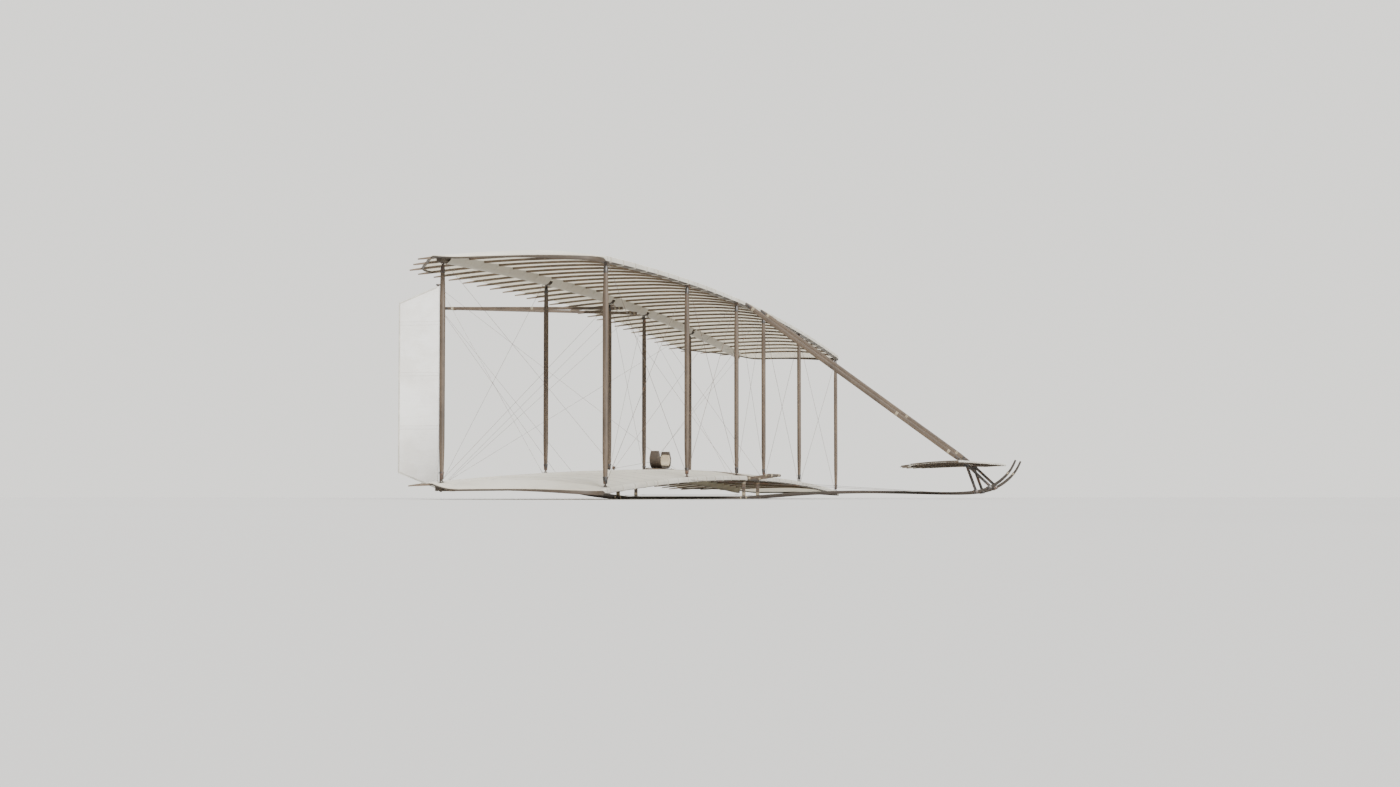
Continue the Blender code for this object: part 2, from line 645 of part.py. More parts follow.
def rudder(parent):
    """The hinged surface: a frame on a leading rod that is pinned at both ends, with two skins."""
    pivot = bpy.data.objects.new("rudder_pivot", None)
    bpy.context.scene.collection.objects.link(pivot)
    pivot.parent = parent
    pivot.location = (0, RUDDER_Y, 0)
    rear = RUDDER_REAR - RUDDER_Y
    half = RUDDER_RAIL / 2
    foot, head = Vector((0, 0, RUDDER_FOOT)), Vector((0, 0, RUDDER_HEAD))
    past = Vector((0, 0, PIN_LONG))
    shapes = [rod(foot, head, RUDDER_ROD, ROUND_SIDES), rod(foot - past, head + past, PIN, ROUND_SIDES)]
    low_rear, high_rear = RUDDER_FOOT + RUDDER_TAPER, RUDDER_HEAD - RUDDER_TAPER
    stile = [(0, rear - half, low_rear + STEP), (0, rear - half, high_rear - STEP)]
    shapes.append(bar(stile, (1, 0, 0), RUDDER_RAIL, RUDDER_RAIL - STEP))
    for front_end, rear_end, inward in ((RUDDER_FOOT, low_rear, half), (RUDDER_HEAD, high_rear, -half)):
        rail = [(0, 0, front_end + inward), (0, rear - half, rear_end + inward)]
        shapes.append(bar(rail, (1, 0, 0), RUDDER_RAIL - STEP, RUDDER_RAIL - 2 * STEP))
    piece("rudder_frame", WOOD, shapes, pivot)
    outline = [(-RUDDER_FRONT, RUDDER_FOOT + STEP), (rear, low_rear), (rear, high_rear),
               (-RUDDER_FRONT, RUDDER_HEAD - STEP)]
    for side, where in ((-1, "starboard"), (1, "port")):
        inside = side * (RUDDER_ROD + SEAT)
        outside = inside + side * RUDDER_SKIN
        skin = prism(outline, min(inside, outside), max(inside, outside), 0)
        piece(f"rudder_cover_{where}", CLOTH_LOOK, [skin], pivot)


def pilot_place(parent):
    """What the prone pilot lies on and holds: cradle, its board, the hand bar and the foot bar."""
    on_cloth = CLOTH + 2 * SEAT + droop(INNER_RIB - RIB_WIDE / 2)
    front, rear = BOARD_Y - BOARD_WIDE / 2, BOARD_Y + BOARD_WIDE / 2
    under = camber(front) + on_cloth
    board = box((-BOARD_HALF, front, under), (BOARD_HALF, rear, under + BOARD_THICK))
    piece("cradle_board", WOOD, [board], parent)
    base = under + BOARD_THICK + SEAT
    path = [(-x, BOARD_Y, base + z) for x, z in YOKE] + [(x, BOARD_Y, base + z) for x, z in reversed(YOKE)]
    piece("hip_cradle", WOOD, [bar(path, (0, 1, 0), YOKE_WIDE, YOKE_THICK)], parent)
    half, row, height = HAND_BAR
    shapes = [rod((-half, row, height), (half, row, height), GRIP, STRUT_SIDES)]
    for side in (-1, 1):
        arm = [(side * HAND_ARM_X, row, height), (side * HAND_ARM_X, -SEAT, FRONT_SPAR_Z)]
        shapes.append(bar(arm, (1, 0, 0), HAND_ARM, HAND_ARM, (None, (0, 1, 0))))
    piece("hand_bar", WOOD, shapes, parent)
    low = camber(FOOT_BAR_Y) + on_cloth + GRIP
    foot = rod((-FOOT_BAR_HALF, FOOT_BAR_Y, low), (FOOT_BAR_HALF, FOOT_BAR_Y, low), GRIP, STRUT_SIDES)
    piece("foot_bar", WOOD, [foot], parent)


def stays(parent):
    """The crossed wires of the front bays, and the wires from the lower wing to the skids."""
    low = FRONT_SPAR_Z + FRONT_SPAR_DEEP / 2 + STAY
    high = WING_GAP + FRONT_SPAR_Z - FRONT_SPAR_DEEP / 2 - STAY
    for side, where in ((-1, "starboard"), (1, "port")):
        for bay, inner, outer in (("inner", 0, 1), ("outer", 1, 2)):
            start, end = STRUT_PLACES[inner] + STRUT_WIDE, STRUT_PLACES[outer] - STRUT_WIDE
            for kind, row, first, second in (("flying", FLYING_Y, low, high),
                                             ("landing", LANDING_Y, high, low)):
                wire = rod((side * start, row, first + droop(start)),
                           (side * end, row, second + droop(end)), STAY, STAY_SIDES)
                piece(f"stay_{kind}_{bay}_{where}", STEEL, [wire], parent)
        span = STRUT_PLACES[1]
        beside = side * (SKID_X + SKID_WIDE / 2 + STAY + SEAT)
        height = skid_top(SKID_STAY_Y)[0] - SKID_DEEP / 2
        wire = rod((side * span, -STAY - SEAT, FRONT_SPAR_Z + droop(span)),
                   (beside, SKID_STAY_Y, height), STAY, STAY_SIDES)
        piece(f"stay_skid_{where}", STEEL, [wire], parent)


clear_scene()
glider = bpy.data.objects.new("glider", None)
bpy.context.scene.collection.objects.link(glider)
glider.location = (0, LEADING_EDGE_Y, CHORD_LINE_Z)
wing_frame("lower_wing_frame", 0.0, False, glider)
wing_frame("upper_wing_frame", WING_GAP, True, glider)
wing_cover("upper_wing_cover", WING_GAP, -HALF_SPAN, HALF_SPAN, glider)
wing_cover("lower_wing_cover_port", 0.0, INNER_RIB - RIB_WIDE / 2, HALF_SPAN, glider)
wing_cover("lower_wing_cover_starboard", 0.0, -INNER_RIB + RIB_WIDE / 2, -HALF_SPAN, glider)
struts(glider)
skids(glider)
elevator(glider)
tail(glider)
rudder(glider)
pilot_place(glider)
stays(glider)
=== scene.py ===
import math
import random

import bpy
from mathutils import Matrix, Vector, noise


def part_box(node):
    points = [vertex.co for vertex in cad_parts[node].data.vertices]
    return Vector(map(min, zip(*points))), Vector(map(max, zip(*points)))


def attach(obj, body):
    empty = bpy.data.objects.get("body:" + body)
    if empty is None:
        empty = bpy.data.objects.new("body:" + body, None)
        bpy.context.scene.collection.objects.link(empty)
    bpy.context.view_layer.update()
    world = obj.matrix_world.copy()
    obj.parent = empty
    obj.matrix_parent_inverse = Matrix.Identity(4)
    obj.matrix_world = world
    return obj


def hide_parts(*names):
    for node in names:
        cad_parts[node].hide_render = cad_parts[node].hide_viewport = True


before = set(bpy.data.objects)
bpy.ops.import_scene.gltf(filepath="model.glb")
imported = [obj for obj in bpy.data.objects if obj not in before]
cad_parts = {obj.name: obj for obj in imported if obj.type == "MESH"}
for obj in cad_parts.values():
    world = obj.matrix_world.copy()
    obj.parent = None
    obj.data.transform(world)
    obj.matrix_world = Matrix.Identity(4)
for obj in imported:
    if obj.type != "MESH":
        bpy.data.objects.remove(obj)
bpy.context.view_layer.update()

random.seed(1902)
ACROSS, AFT, UP = (1, 0, 0), (0, 1, 0), (0, 0, 1)
SIDES = ((-1, "starboard"), (1, "port"))

# The camera: it looks from beside the starboard tip, ahead of the wings, with a long lens. It keeps the
# photograph's side and distance, and stands at floor level because the glider is parked.
CAMERA_PLACE = Vector((-17.18, -3.64, 0.02))
CAMERA_HEADING = Vector((0.9783, 0.2071, 0.047))
camera_data = bpy.data.cameras.new("camera")
camera_data.lens = 56.3
camera = bpy.data.objects.new("camera", camera_data)
camera.location = CAMERA_PLACE
camera.rotation_euler = CAMERA_HEADING.to_track_quat("-Z", "Y").to_euler()
bpy.context.scene.collection.objects.link(camera)
bpy.context.scene.camera = camera


# The studio: a pale matt floor that fades into a pale surround, and two broad soft lamps. The one above
# and behind shines through the cloth.
def feed(tree, made, inputs):
    """Gives a node's inputs their values, or links them to other nodes' outputs."""
    for name, value in inputs.items():
        if isinstance(value, bpy.types.NodeSocket):
            tree.links.new(value, made.inputs[name])
        else:
            made.inputs[name].default_value = value
    return made


def put(tree, kind, inputs=None, **settings):
    """Adds a node, sets its options, and feeds its inputs with values or with other nodes' outputs."""
    made = tree.nodes.new("ShaderNode" + kind)
    for name, value in settings.items():
        setattr(made, name, value)
    return feed(tree, made, inputs or {})


def maths(tree, operation, first, second=0.0, clamp=False):
    """The result of one Math node."""
    return put(tree, "Math", {0: first, 1: second}, operation=operation, use_clamp=clamp).outputs[0]


def ramp(tree, value, low, high, to_low=0.0, to_high=1.0):
    """The value brought from one range to another, held at its ends."""
    return put(tree, "MapRange", {"Value": value, "From Min": low, "From Max": high,
                                  "To Min": to_low, "To Max": to_high}).outputs["Result"]


def mix_colour(tree, share, first, second, way="MIX"):
    """Two colours mixed by a share. Inputs 6 and 7 are the Mix node's two colours."""
    return put(tree, "Mix", {"Factor": share, 6: first, 7: second}, data_type="RGBA",
               blend_type=way).outputs[2]


def new_material(name):
    """A material with its node tree and its Principled shader."""
    made = bpy.data.materials.new(name)
    made.use_nodes = True
    return made, made.node_tree, made.node_tree.nodes["Principled BSDF"]


FLOOR_RADIUS = 70
FLOOR_SIDES = 96
FLOOR_PALE, FLOOR_SHADE = (0.485, 0.479, 0.466, 1), (0.450, 0.444, 0.430, 1)
floor_mesh = bpy.data.meshes.new("studio_floor")
floor_rim = [(FLOOR_RADIUS * math.cos(turn), FLOOR_RADIUS * math.sin(turn), 0)
             for turn in (2 * math.pi * side / FLOOR_SIDES for side in range(FLOOR_SIDES))]
floor_mesh.from_pydata(floor_rim, [], [tuple(range(FLOOR_SIDES))])
floor = bpy.data.objects.new("studio_floor", floor_mesh)
bpy.context.scene.collection.objects.link(floor)
finish, tree, shader = new_material("studio_floor")
where = put(tree, "NewGeometry").outputs["Position"]
cloudy = put(tree, "TexNoise", {"Vector": where, "Scale": 0.6, "Detail": 4.0}).outputs["Fac"]
tree.links.new(mix_colour(tree, cloudy, FLOOR_SHADE, FLOOR_PALE), shader.inputs["Base Color"])
shader.inputs["Roughness"].default_value = 0.85
away = put(tree, "VectorMath", {0: where}, operation="LENGTH").outputs["Value"]
below = put(tree, "NewGeometry").outputs["Backfacing"]
gone = maths(tree, "MAXIMUM", ramp(tree, away, 20, 60), below)
clear = put(tree, "BsdfTransparent")
fade = put(tree, "MixShader", {0: gone, 1: shader.outputs[0], 2: clear.outputs[0]})
tree.links.new(fade.outputs[0], tree.nodes["Material Output"].inputs["Surface"])
floor_mesh.materials.append(finish)

SURROUND = (0.82, 0.808, 0.768, 1)
SURROUND_LIGHT, SURROUND_SEEN = 0.80, 1.78
world = bpy.data.worlds.new("surround")
world.use_nodes = True
tree = world.node_tree
seen = put(tree, "LightPath").outputs["Is Camera Ray"]
tree.nodes["Background"].inputs["Color"].default_value = SURROUND
strength = ramp(tree, seen, 0, 1, SURROUND_LIGHT, SURROUND_SEEN)
tree.links.new(strength, tree.nodes["Background"].inputs["Strength"])
bpy.context.scene.world = world

for name, place, spread, strength in (("lamp_key", (-12, -8, 8), 24, 7.0),
                                      ("lamp_above", (5, 7, 12), 36, 4.2)):
    lamp_data = bpy.data.lights.new(name, "SUN")
    lamp_data.angle = math.radians(spread)
    lamp_data.energy = strength
    lamp = bpy.data.objects.new(name, lamp_data)
    lamp.location = place
    lamp.rotation_euler = (-Vector(place)).to_track_quat("-Z", "Y").to_euler()
    bpy.context.scene.collection.objects.link(lamp)


# The wings' woodwork: for each wing a spruce front spar that is its leading edge, a rear spar, and bent
# ash ribs that cross both and stand out behind, with a thin ash bow round each tip.
LEADING_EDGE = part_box("lower_wing_frame")[0].y
CHORD_LINE = 0.168
HALF_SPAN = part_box("lower_wing_frame")[1].x
WING_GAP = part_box("upper_wing_frame")[0].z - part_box("lower_wing_frame")[0].z
TIP_DROOP = 0.120
RIB_TAIL = 1.5265
CLOTH_END = 1.445
CREST_HEIGHT, CREST_PLACE = 0.060, 0.33
FRONT_SPAR = {"row": 0.020, "height": -0.006, "wide": 0.040, "deep": 0.036, "end": 4.800}
REAR_SPAR = {"row": 1.035, "height": 0.0145, "wide": 0.034, "deep": 0.035, "end": 4.715}
RIB_WIDE, RIB_DEEP = 0.011, 0.015
RIB_NOSE = 0.018
INNER_RIB, TIP_RIB, RIBS_A_SIDE = 0.280, 4.614, 15
TIP_CORNER = ((4.745, 0.006), (4.815, 0.024), (4.866, 0.080), (HALF_SPAN, 0.170))
STRAIGHT_END = 4.680
TIP_STRAIGHT = 0.850
TIP_CURVE = ((HALF_SPAN, TIP_STRAIGHT), (4.872, 0.905), (4.835, 0.955), (4.775, 1.010), (4.700, 1.065),
             (4.600, 1.130), (4.450, 1.200), (4.300, 1.262), (4.150, 1.330), (4.000, 1.392), (3.850, 1.430),
             (3.685, CLOTH_END))
FLATTER_FROM, TIP_CAMBER = 4.665, 0.30
BOW_WIDE, BOW_FRONT, BOW_REAR = 0.013, 0.028, 0.011
BOW_TAPER_END = 0.60
# Painted shade: the spruce, ash and spar colours are far darker than clean wood, standing in for the shade
# on the backlit woodwork.
SHADED_SPRUCE_PALE, SHADED_SPRUCE_DARK = (0.119, 0.084, 0.055, 1), (0.058, 0.039, 0.025, 1)
SHADED_ASH_PALE, SHADED_ASH_DARK = (0.108, 0.079, 0.053, 1), (0.054, 0.038, 0.025, 1)
SHADED_SPAR_PALE, SHADED_SPAR_DARK = (0.086, 0.063, 0.042, 1), (0.043, 0.030, 0.020, 1)
RIB_PALE, RIB_DARK = (0.20, 0.15, 0.105, 1), (0.10, 0.07, 0.047, 1)


def camber(row):
    """The height of a rib's upper side: a rise to the crest, and a longer fall to the tail."""
    share = row / RIB_TAIL
    if share < CREST_PLACE:
        return CREST_HEIGHT * (2 * CREST_PLACE * share - share ** 2) / CREST_PLACE ** 2
    fall = 1 - 2 * CREST_PLACE + 2 * CREST_PLACE * share - share ** 2
    return CREST_HEIGHT * fall / (1 - CREST_PLACE) ** 2


def surface(span, row):
    """The height of the wing's ribs and bows: the camber, which fades towards the tip."""
    out = max(0.0, (abs(span) - FLATTER_FROM) / (HALF_SPAN - FLATTER_FROM))
    return camber(max(row, 0.0)) * (1 - (1 - TIP_CAMBER) * out)


def on_wing(span, row, height=0.0):
    """A place in the row frame, from its span, its distance behind the leading edge and its height
    above the lower wing's chord line, lowered as the wing droops there."""
    droop = -TIP_DROOP * (span / HALF_SPAN) ** 2
    return Vector((span, LEADING_EDGE + row, CHORD_LINE + height + droop))


def smooth(points, steps):
    """A smooth curve through the points, with a number of steps from each to the next."""
    points = [Vector(point) for point in points]
    line = []
    for number in range(len(points) - 1):
        before = points[max(number - 1, 0)]
        here, after = points[number], points[number + 1]
        beyond = points[min(number + 2, len(points) - 1)]
        for step in range(steps):
            t = step / steps
            line.append(0.5 * (2 * here + (after - before) * t
                               + (2 * before - 5 * here + 4 * after - beyond) * t ** 2
                               + (3 * here - before - 3 * after + beyond) * t ** 3))
    return line + [points[-1]]


def read_along(line, value):
    """The second number of a line of pairs where its first, which rises, has a value."""
    for (low, start), (high, end) in zip(line, line[1:]):
        if value <= high:
            return start + (end - start) * (value - low) / max(high - low, 1e-9)
    return line[-1][1]


tip_front = smooth([(span, row, 0) for span, row in TIP_CORNER], 6)
tip_rear = smooth([(span, row, 0) for span, row in TIP_CURVE], 6)
CORNER_END = TIP_CORNER[-1][1]
tip_side = [Vector((HALF_SPAN, CORNER_END + (TIP_STRAIGHT - CORNER_END) * step / 12, 0))
            for step in range(1, 12)]
front_edge = [(0.0, 0.0), (STRAIGHT_END, 0.0)] + [(point.x, point.y) for point in tip_front]
rear_edge = [(0.0, CLOTH_END)] + [(point.x, point.y) for point in reversed(tip_rear)]


def cut_square(share):
    """A square outline in half widths, its corners eased by a share of the half width."""
    quarter = [(1, 1 - share), (1 - share * 0.3, 1 - share * 0.3), (1 - share, 1)]
    turned = []
    for turn in range(4):
        for across, up in quarter:
            for _ in range(turn):
                across, up = -up, across
            turned.append((across, up))
    return turned


def circle(sides):
    """A round outline in half widths."""
    return [(math.cos(2 * math.pi * side / sides), math.sin(2 * math.pi * side / sides))
            for side in range(sides)]


def new_shape():
    """An empty shape, which sticks, rods and rings are added to."""
    return {"points": [], "faces": [], "grain": []}


def sweep(shape, path, side, outline, wide, deep=None, closed=False):
    """Adds a stick, rod or ring along a path. The outline is in halves of its width, which lies along
    side, and its depth. Sizes may be lists, one for each point. The grain map is in metres."""
    path = [Vector(point) for point in path]
    count, last = len(outline), len(path) - 1
    wides = wide if isinstance(wide, list) else [wide] * len(path)
    deeps = wides if deep is None else deep if isinstance(deep, list) else [deep] * len(path)
    first = len(shape["points"])
    shift = random.uniform(0, 40)
    runs = []
    run = 0.0
    for number, here in enumerate(path):
        before = path[number - 1] if number or closed else here
        after = path[(number + 1) % len(path)] if number < last or closed else here
        along = (after - before).normalized()
        flat = (Vector(side) - along * along.dot(Vector(side))).normalized()
        up = along.cross(flat)
        for across, rise in outline:
            shape["points"].append(here + flat * across * wides[number] / 2 + up * rise * deeps[number] / 2)
        runs.append(run + shift)
        run += (path[(number + 1) % len(path)] - here).length
    runs.append(run + shift)
    around = [0.0]
    for (a, b), (c, d) in zip(outline, outline[1:] + outline[:1]):
        around.append(around[-1] + math.hypot((c - a) * max(wides), (d - b) * max(deeps)) / 2)
    for ring in range(last + closed):
        for corner in range(count):
            beside, ahead = (corner + 1) % count, (ring + 1) % len(path)
            shape["faces"].append((first + ring * count + corner, first + ring * count + beside,
                                   first + ahead * count + beside, first + ahead * count + corner))
            shape["grain"] += [(runs[ring], around[corner]), (runs[ring], around[corner + 1]),
                               (runs[ring + 1], around[corner + 1]), (runs[ring + 1], around[corner])]
    if not closed:
        for ring, order in ((0, -1), (last, 1)):
            corners = list(range(count))[::order]
            shape["faces"].append(tuple(first + ring * count + corner for corner in corners))
            shape["grain"] += [(runs[ring] + outline[corner][0] * wides[ring] / 2,
                                outline[corner][1] * deeps[ring] / 2) for corner in corners]


def place_piece(name, mesh, finish, body, replaced, sharp):
    """Puts a mesh in the scene with its finish and on its body. Edges that turn by more than sharp degrees
    stay sharp."""
    mesh.update()
    mesh.shade_smooth()
    mesh.set_sharp_from_angle(angle=math.radians(sharp))
    mesh.materials.append(finish)
    made = bpy.data.objects.new(name, mesh)
    bpy.context.scene.collection.objects.link(made)
    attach(made, body)
    if replaced:
        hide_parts(*replaced)
    return made


def make_piece(name, shape, finish, body="airframe", replaced=(), sharp=38):
    """One mesh of the scene from a shape, with its grain map, finish and body."""
    mesh = bpy.data.meshes.new(name)
    mesh.from_pydata(shape["points"], [], shape["faces"])
    grain = mesh.uv_layers.new(name="grain")
    grain.data.foreach_set("uv", [number for pair in shape["grain"] for number in pair])
    return place_piece(name, mesh, finish, body, replaced, sharp)


def new_group(name, takes, gives):
    """An empty shader group with its sockets, each taken one with its usual value."""
    group = bpy.data.node_groups.new(name, "ShaderNodeTree")
    for label, kind, value in takes:
        socket = group.interface.new_socket(label, in_out="INPUT", socket_type="NodeSocket" + kind)
        if value is not None:
            socket.default_value = value
    for label, kind in gives:
        group.interface.new_socket(label, in_out="OUTPUT", socket_type="NodeSocket" + kind)
    start = group.nodes.new("NodeGroupInput").outputs
    end = group.nodes.new("NodeGroupOutput").inputs
    return group, start, end


def use_group(tree, group, inputs):
    """Adds a shader group, feeds it, and gives its outputs."""
    made = tree.nodes.new("ShaderNodeGroup")
    made.node_tree = group
    return feed(tree, made, inputs).outputs


def stretched(tree, place, along, across):
    """A place scaled along and across the grain, for a texture to read."""
    return put(tree, "VectorMath", {0: place, 1: (along, across, across)}, operation="MULTIPLY").outputs[0]


grain_group, takes, gives = new_group(
    "wood_grain", [("Place", "Vector", None), ("Pale", "Color", (0.5, 0.4, 0.3, 1)),
                   ("Dark", "Color", (0.3, 0.2, 0.1, 1)), ("Coarseness", "Float", 1.0)],
    [("Color", "Color"), ("Height", "Float"), ("Gloss", "Float")])
scaled = put(grain_group, "VectorMath", {0: takes["Place"], "Scale": takes["Coarseness"]},
             operation="SCALE").outputs[0]
rings = put(grain_group, "TexNoise", {"Vector": stretched(grain_group, scaled, 1.6, 60), "Scale": 1.0,
                                      "Detail": 3.0, "Distortion": 0.6}).outputs["Fac"]
pores = put(grain_group, "TexNoise", {"Vector": stretched(grain_group, scaled, 22, 900), "Scale": 1.0,
                                      "Detail": 2.0}).outputs["Fac"]
patches = put(grain_group, "TexNoise", {"Vector": takes["Place"], "Scale": 2.3,
                                        "Detail": 3.0}).outputs["Fac"]
tone = maths(grain_group, "ADD", maths(grain_group, "MULTIPLY", ramp(grain_group, rings, 0.34, 0.66), 0.62),
             maths(grain_group, "MULTIPLY", ramp(grain_group, patches, 0.3, 0.7), 0.38), True)
wood = mix_colour(grain_group, tone, takes["Dark"], takes["Pale"])
pore = ramp(grain_group, pores, 0.40, 0.50, 0.62, 1.0)
grain_group.links.new(mix_colour(grain_group, 1.0, wood, pore, "MULTIPLY"), gives["Color"])
grain_group.links.new(maths(grain_group, "ADD", pore, maths(grain_group, "MULTIPLY", rings, 0.5)),
                      gives["Height"])
grain_group.links.new(ramp(grain_group, patches, 0.3, 0.7, 0.48, 0.66), gives["Gloss"])

wear_group, takes, gives = new_group(
    "handling_wear", [("Place", "Vector", None), ("Size", "Float", 6.0), ("Cover", "Float", 0.35)],
    [("Mask", "Float")])
blotch = put(wear_group, "TexNoise", {"Vector": takes["Place"], "Scale": takes["Size"], "Detail": 6.0,
                                      "Roughness": 0.65}).outputs["Fac"]
edge = maths(wear_group, "SUBTRACT", 1.0, takes["Cover"])
above = maths(wear_group, "SUBTRACT", blotch, maths(wear_group, "MULTIPLY", edge, 0.72))
share = maths(wear_group, "DIVIDE", above, 0.16, True)
wear_group.links.new(share, gives["Mask"])


def shaded(colour, share):
    """A colour at a share of its lightness."""
    return tuple(channel * share for channel in colour[:3]) + (1,)


def object_place(tree):
    """The place on the piece, in metres."""
    return put(tree, "TexCoord").outputs["Object"]


def grain_place(tree):
    """The grain map of a stick: metres along it and round it."""
    return put(tree, "UVMap", uv_map="grain").outputs["UV"]


def emboss(tree, shader, height, strength, distance):
    """Feeds a height to the shader's normal."""
    made = put(tree, "Bump", {"Height": height, "Strength": strength, "Distance": distance})
    tree.links.new(made.outputs["Normal"], shader.inputs["Normal"])


def wood_finish(name, pale, dark, coarseness=1.0, grime=0.30, turn=None):
    """Oiled wood: grain along the stick, darker pores, and handling grime. turn is the way that a stick
    without a grain map runs."""
    finish, tree, shader = new_material(name)
    if turn is None:
        place = grain_place(tree)
    else:
        place = put(tree, "Mapping", {"Vector": object_place(tree),
                                      "Rotation": turn}).outputs["Vector"]
    grain = use_group(tree, grain_group, {"Place": place, "Pale": pale, "Dark": dark,
                                          "Coarseness": coarseness})
    rubbed = use_group(tree, wear_group, {"Place": object_place(tree), "Size": 3.5,
                                          "Cover": grime})["Mask"]
    dirt = shaded(dark, 0.42)
    tone = mix_colour(tree, maths(tree, "MULTIPLY", rubbed, 0.55), grain["Color"], dirt)
    tree.links.new(tone, shader.inputs["Base Color"])
    tree.links.new(grain["Gloss"], shader.inputs["Roughness"])
    emboss(tree, shader, grain["Height"], 0.22, 0.0006)
    return finish


wing_wood = wood_finish("wing_wood", SHADED_SPAR_PALE, SHADED_SPAR_DARK)
rib_wood = wood_finish("rib_wood", RIB_PALE, RIB_DARK)
NOSE_OUTLINE = [(1, -1), (1, 1), (-0.35, 1), (-0.72, 0.86), (-0.93, 0.50), (-1, 0), (-0.93, -0.50),
                (-0.72, -0.86), (-0.35, -1)]
EASED = cut_square(0.28)
PLANED_FROM, PLANED_OFF = 4.69, 0.0125
PLANED_STEPS = (PLANED_FROM, 4.72, 4.745, 4.77)


def rib_spans(middle_rib):
    """Where a wing's ribs stand along its span."""
    step = (TIP_RIB - INNER_RIB) / (RIBS_A_SIDE - 1)
    spans = [INNER_RIB + number * step for number in range(RIBS_A_SIDE)]
    return sorted([-span for span in spans] + ([0.0] if middle_rib else []) + spans)


def held(value):
    """The value, kept between 0 and 1."""
    return min(1.0, max(0.0, value))


def drawn_down(span):
    """How far the front spar's end is planed down towards the bow, from 0 to 1."""
    return held((abs(span) - PLANED_FROM) / (FRONT_SPAR["end"] - PLANED_FROM))


def spar_top(span):
    """The height of the front spar's upper side."""
    return FRONT_SPAR["height"] + FRONT_SPAR["deep"] / 2 - PLANED_OFF * drawn_down(span)


def spar_stick(shape, spar, level, outline, planed):
    """A spar from tip to tip. The front one is planed down and rounded off towards its ends."""
    half = [spar["end"] * step / 24 for step in range(25)]
    half += [span for span in PLANED_STEPS if span < spar["end"]]
    spans = sorted({-span for span in half} | set(half))
    cut = [planed * drawn_down(span) for span in spans]
    back = [(read_along(front_edge, abs(span)) + 0.0012 if planed and abs(span) > STRAIGHT_END else 0.0)
            for span in spans]
    path = [on_wing(span, spar["row"] + nose / 2, spar["height"] + level - off / 2)
            for span, off, nose in zip(spans, cut, back)]
    sweep(shape, path, AFT, outline, [spar["wide"] - nose for nose in back],
          [spar["deep"] - off for off in cut])


def rib_end(span):
    """Where a rib ends: as far behind the cloth at the tip as in the middle."""
    return min(RIB_TAIL, read_along(rear_edge, abs(span)) + RIB_TAIL - CLOTH_END)


def bow_path(side, level):
    """The bow's middle line and depths, from the front spar's end round to the trailing edge."""
    outline = tip_front + tip_side + tip_rear
    path, depths = [], []
    for number, point in enumerate(outline):
        along = (outline[min(number + 1, len(outline) - 1)] - outline[max(number - 1, 0)]).normalized()
        inward = Vector((-along.y, along.x, 0)) * BOW_WIDE * 0.55
        deep = BOW_FRONT + (BOW_REAR - BOW_FRONT) * min(1.0, point.y / BOW_TAPER_END)
        spot = point + inward
        path.append(on_wing(side * spot.x, spot.y, surface(point.x, point.y) - 0.0006 - deep / 2 + level))
        depths.append(deep)
    return path, depths


def wing_woodwork(name, level, middle_rib, node):
    """Both spars, the ribs and the tip bows of one wing as one piece, its ribs in a paler wood."""
    shape = new_shape()
    spar_stick(shape, FRONT_SPAR, level, NOSE_OUTLINE, PLANED_OFF)
    spar_stick(shape, REAR_SPAR, level, EASED, 0.0)
    spar_faces = len(shape["faces"])
    for span in rib_spans(middle_rib):
        end = rib_end(span)
        rows = [RIB_NOSE + (end - RIB_NOSE) * step / 30 for step in range(31)]
        path = [on_wing(span, row, camber(row) - RIB_DEEP / 2 + level) for row in rows]
        thin = [1 - 0.45 * max(0.0, (row - end) / (RIB_TAIL - CLOTH_END) + 1) for row in rows]
        sweep(shape, path, ACROSS, EASED, [RIB_WIDE * share for share in thin],
              [RIB_DEEP * share for share in thin])
    rib_faces = len(shape["faces"])
    for side in (-1, 1):
        path, depths = bow_path(side, level)
        sweep(shape, path, UP, EASED, depths, BOW_WIDE)
    made = make_piece(name, shape, wing_wood, replaced=[node])
    made.data.materials.append(rib_wood)
    for face in made.data.polygons[spar_faces:rib_faces]:
        face.material_index = 1


wing_woodwork("lower_wing_woodwork", 0.0, False, "lower_wing_frame")
wing_woodwork("upper_wing_woodwork", WING_GAP, True, "upper_wing_frame")


# The wings' cloth: unbleached muslin laid on the bias, sewn from strips. It runs from a tacked edge under
# the leading edge over the spar and the ribs, which it grips in sewn pockets, to a corded hem behind.
MUSLIN = (0.87, 0.85, 0.785, 1)
MUSLIN_SHADE = (0.79, 0.76, 0.675, 1)
MUSLIN_THROUGH = (0.86, 0.835, 0.76, 1)
THREAD, SOIL = (0.34, 0.28, 0.20, 1), (0.36, 0.29, 0.20, 1)
CLOTH = 0.0011
NOSE_WRAP = ((-0.0012, -0.0185), (-0.0016, -0.012), (-0.0018, -0.004), (-0.0010, 0.004), (0.0025, 0.0105),
             (0.0090, 0.0138), (0.0200, 0.0146), (0.0340, 0.0146), (0.0460, 0.0150))
ON_RIB = CLOTH / 2 + 0.0004
SAG, RIPPLE = 0.0045, 0.0016
SCALLOP = 0.013
POCKET = 0.017
STRIP = 0.86
BAY_STEPS = 10
CHORD_STEPS = 44

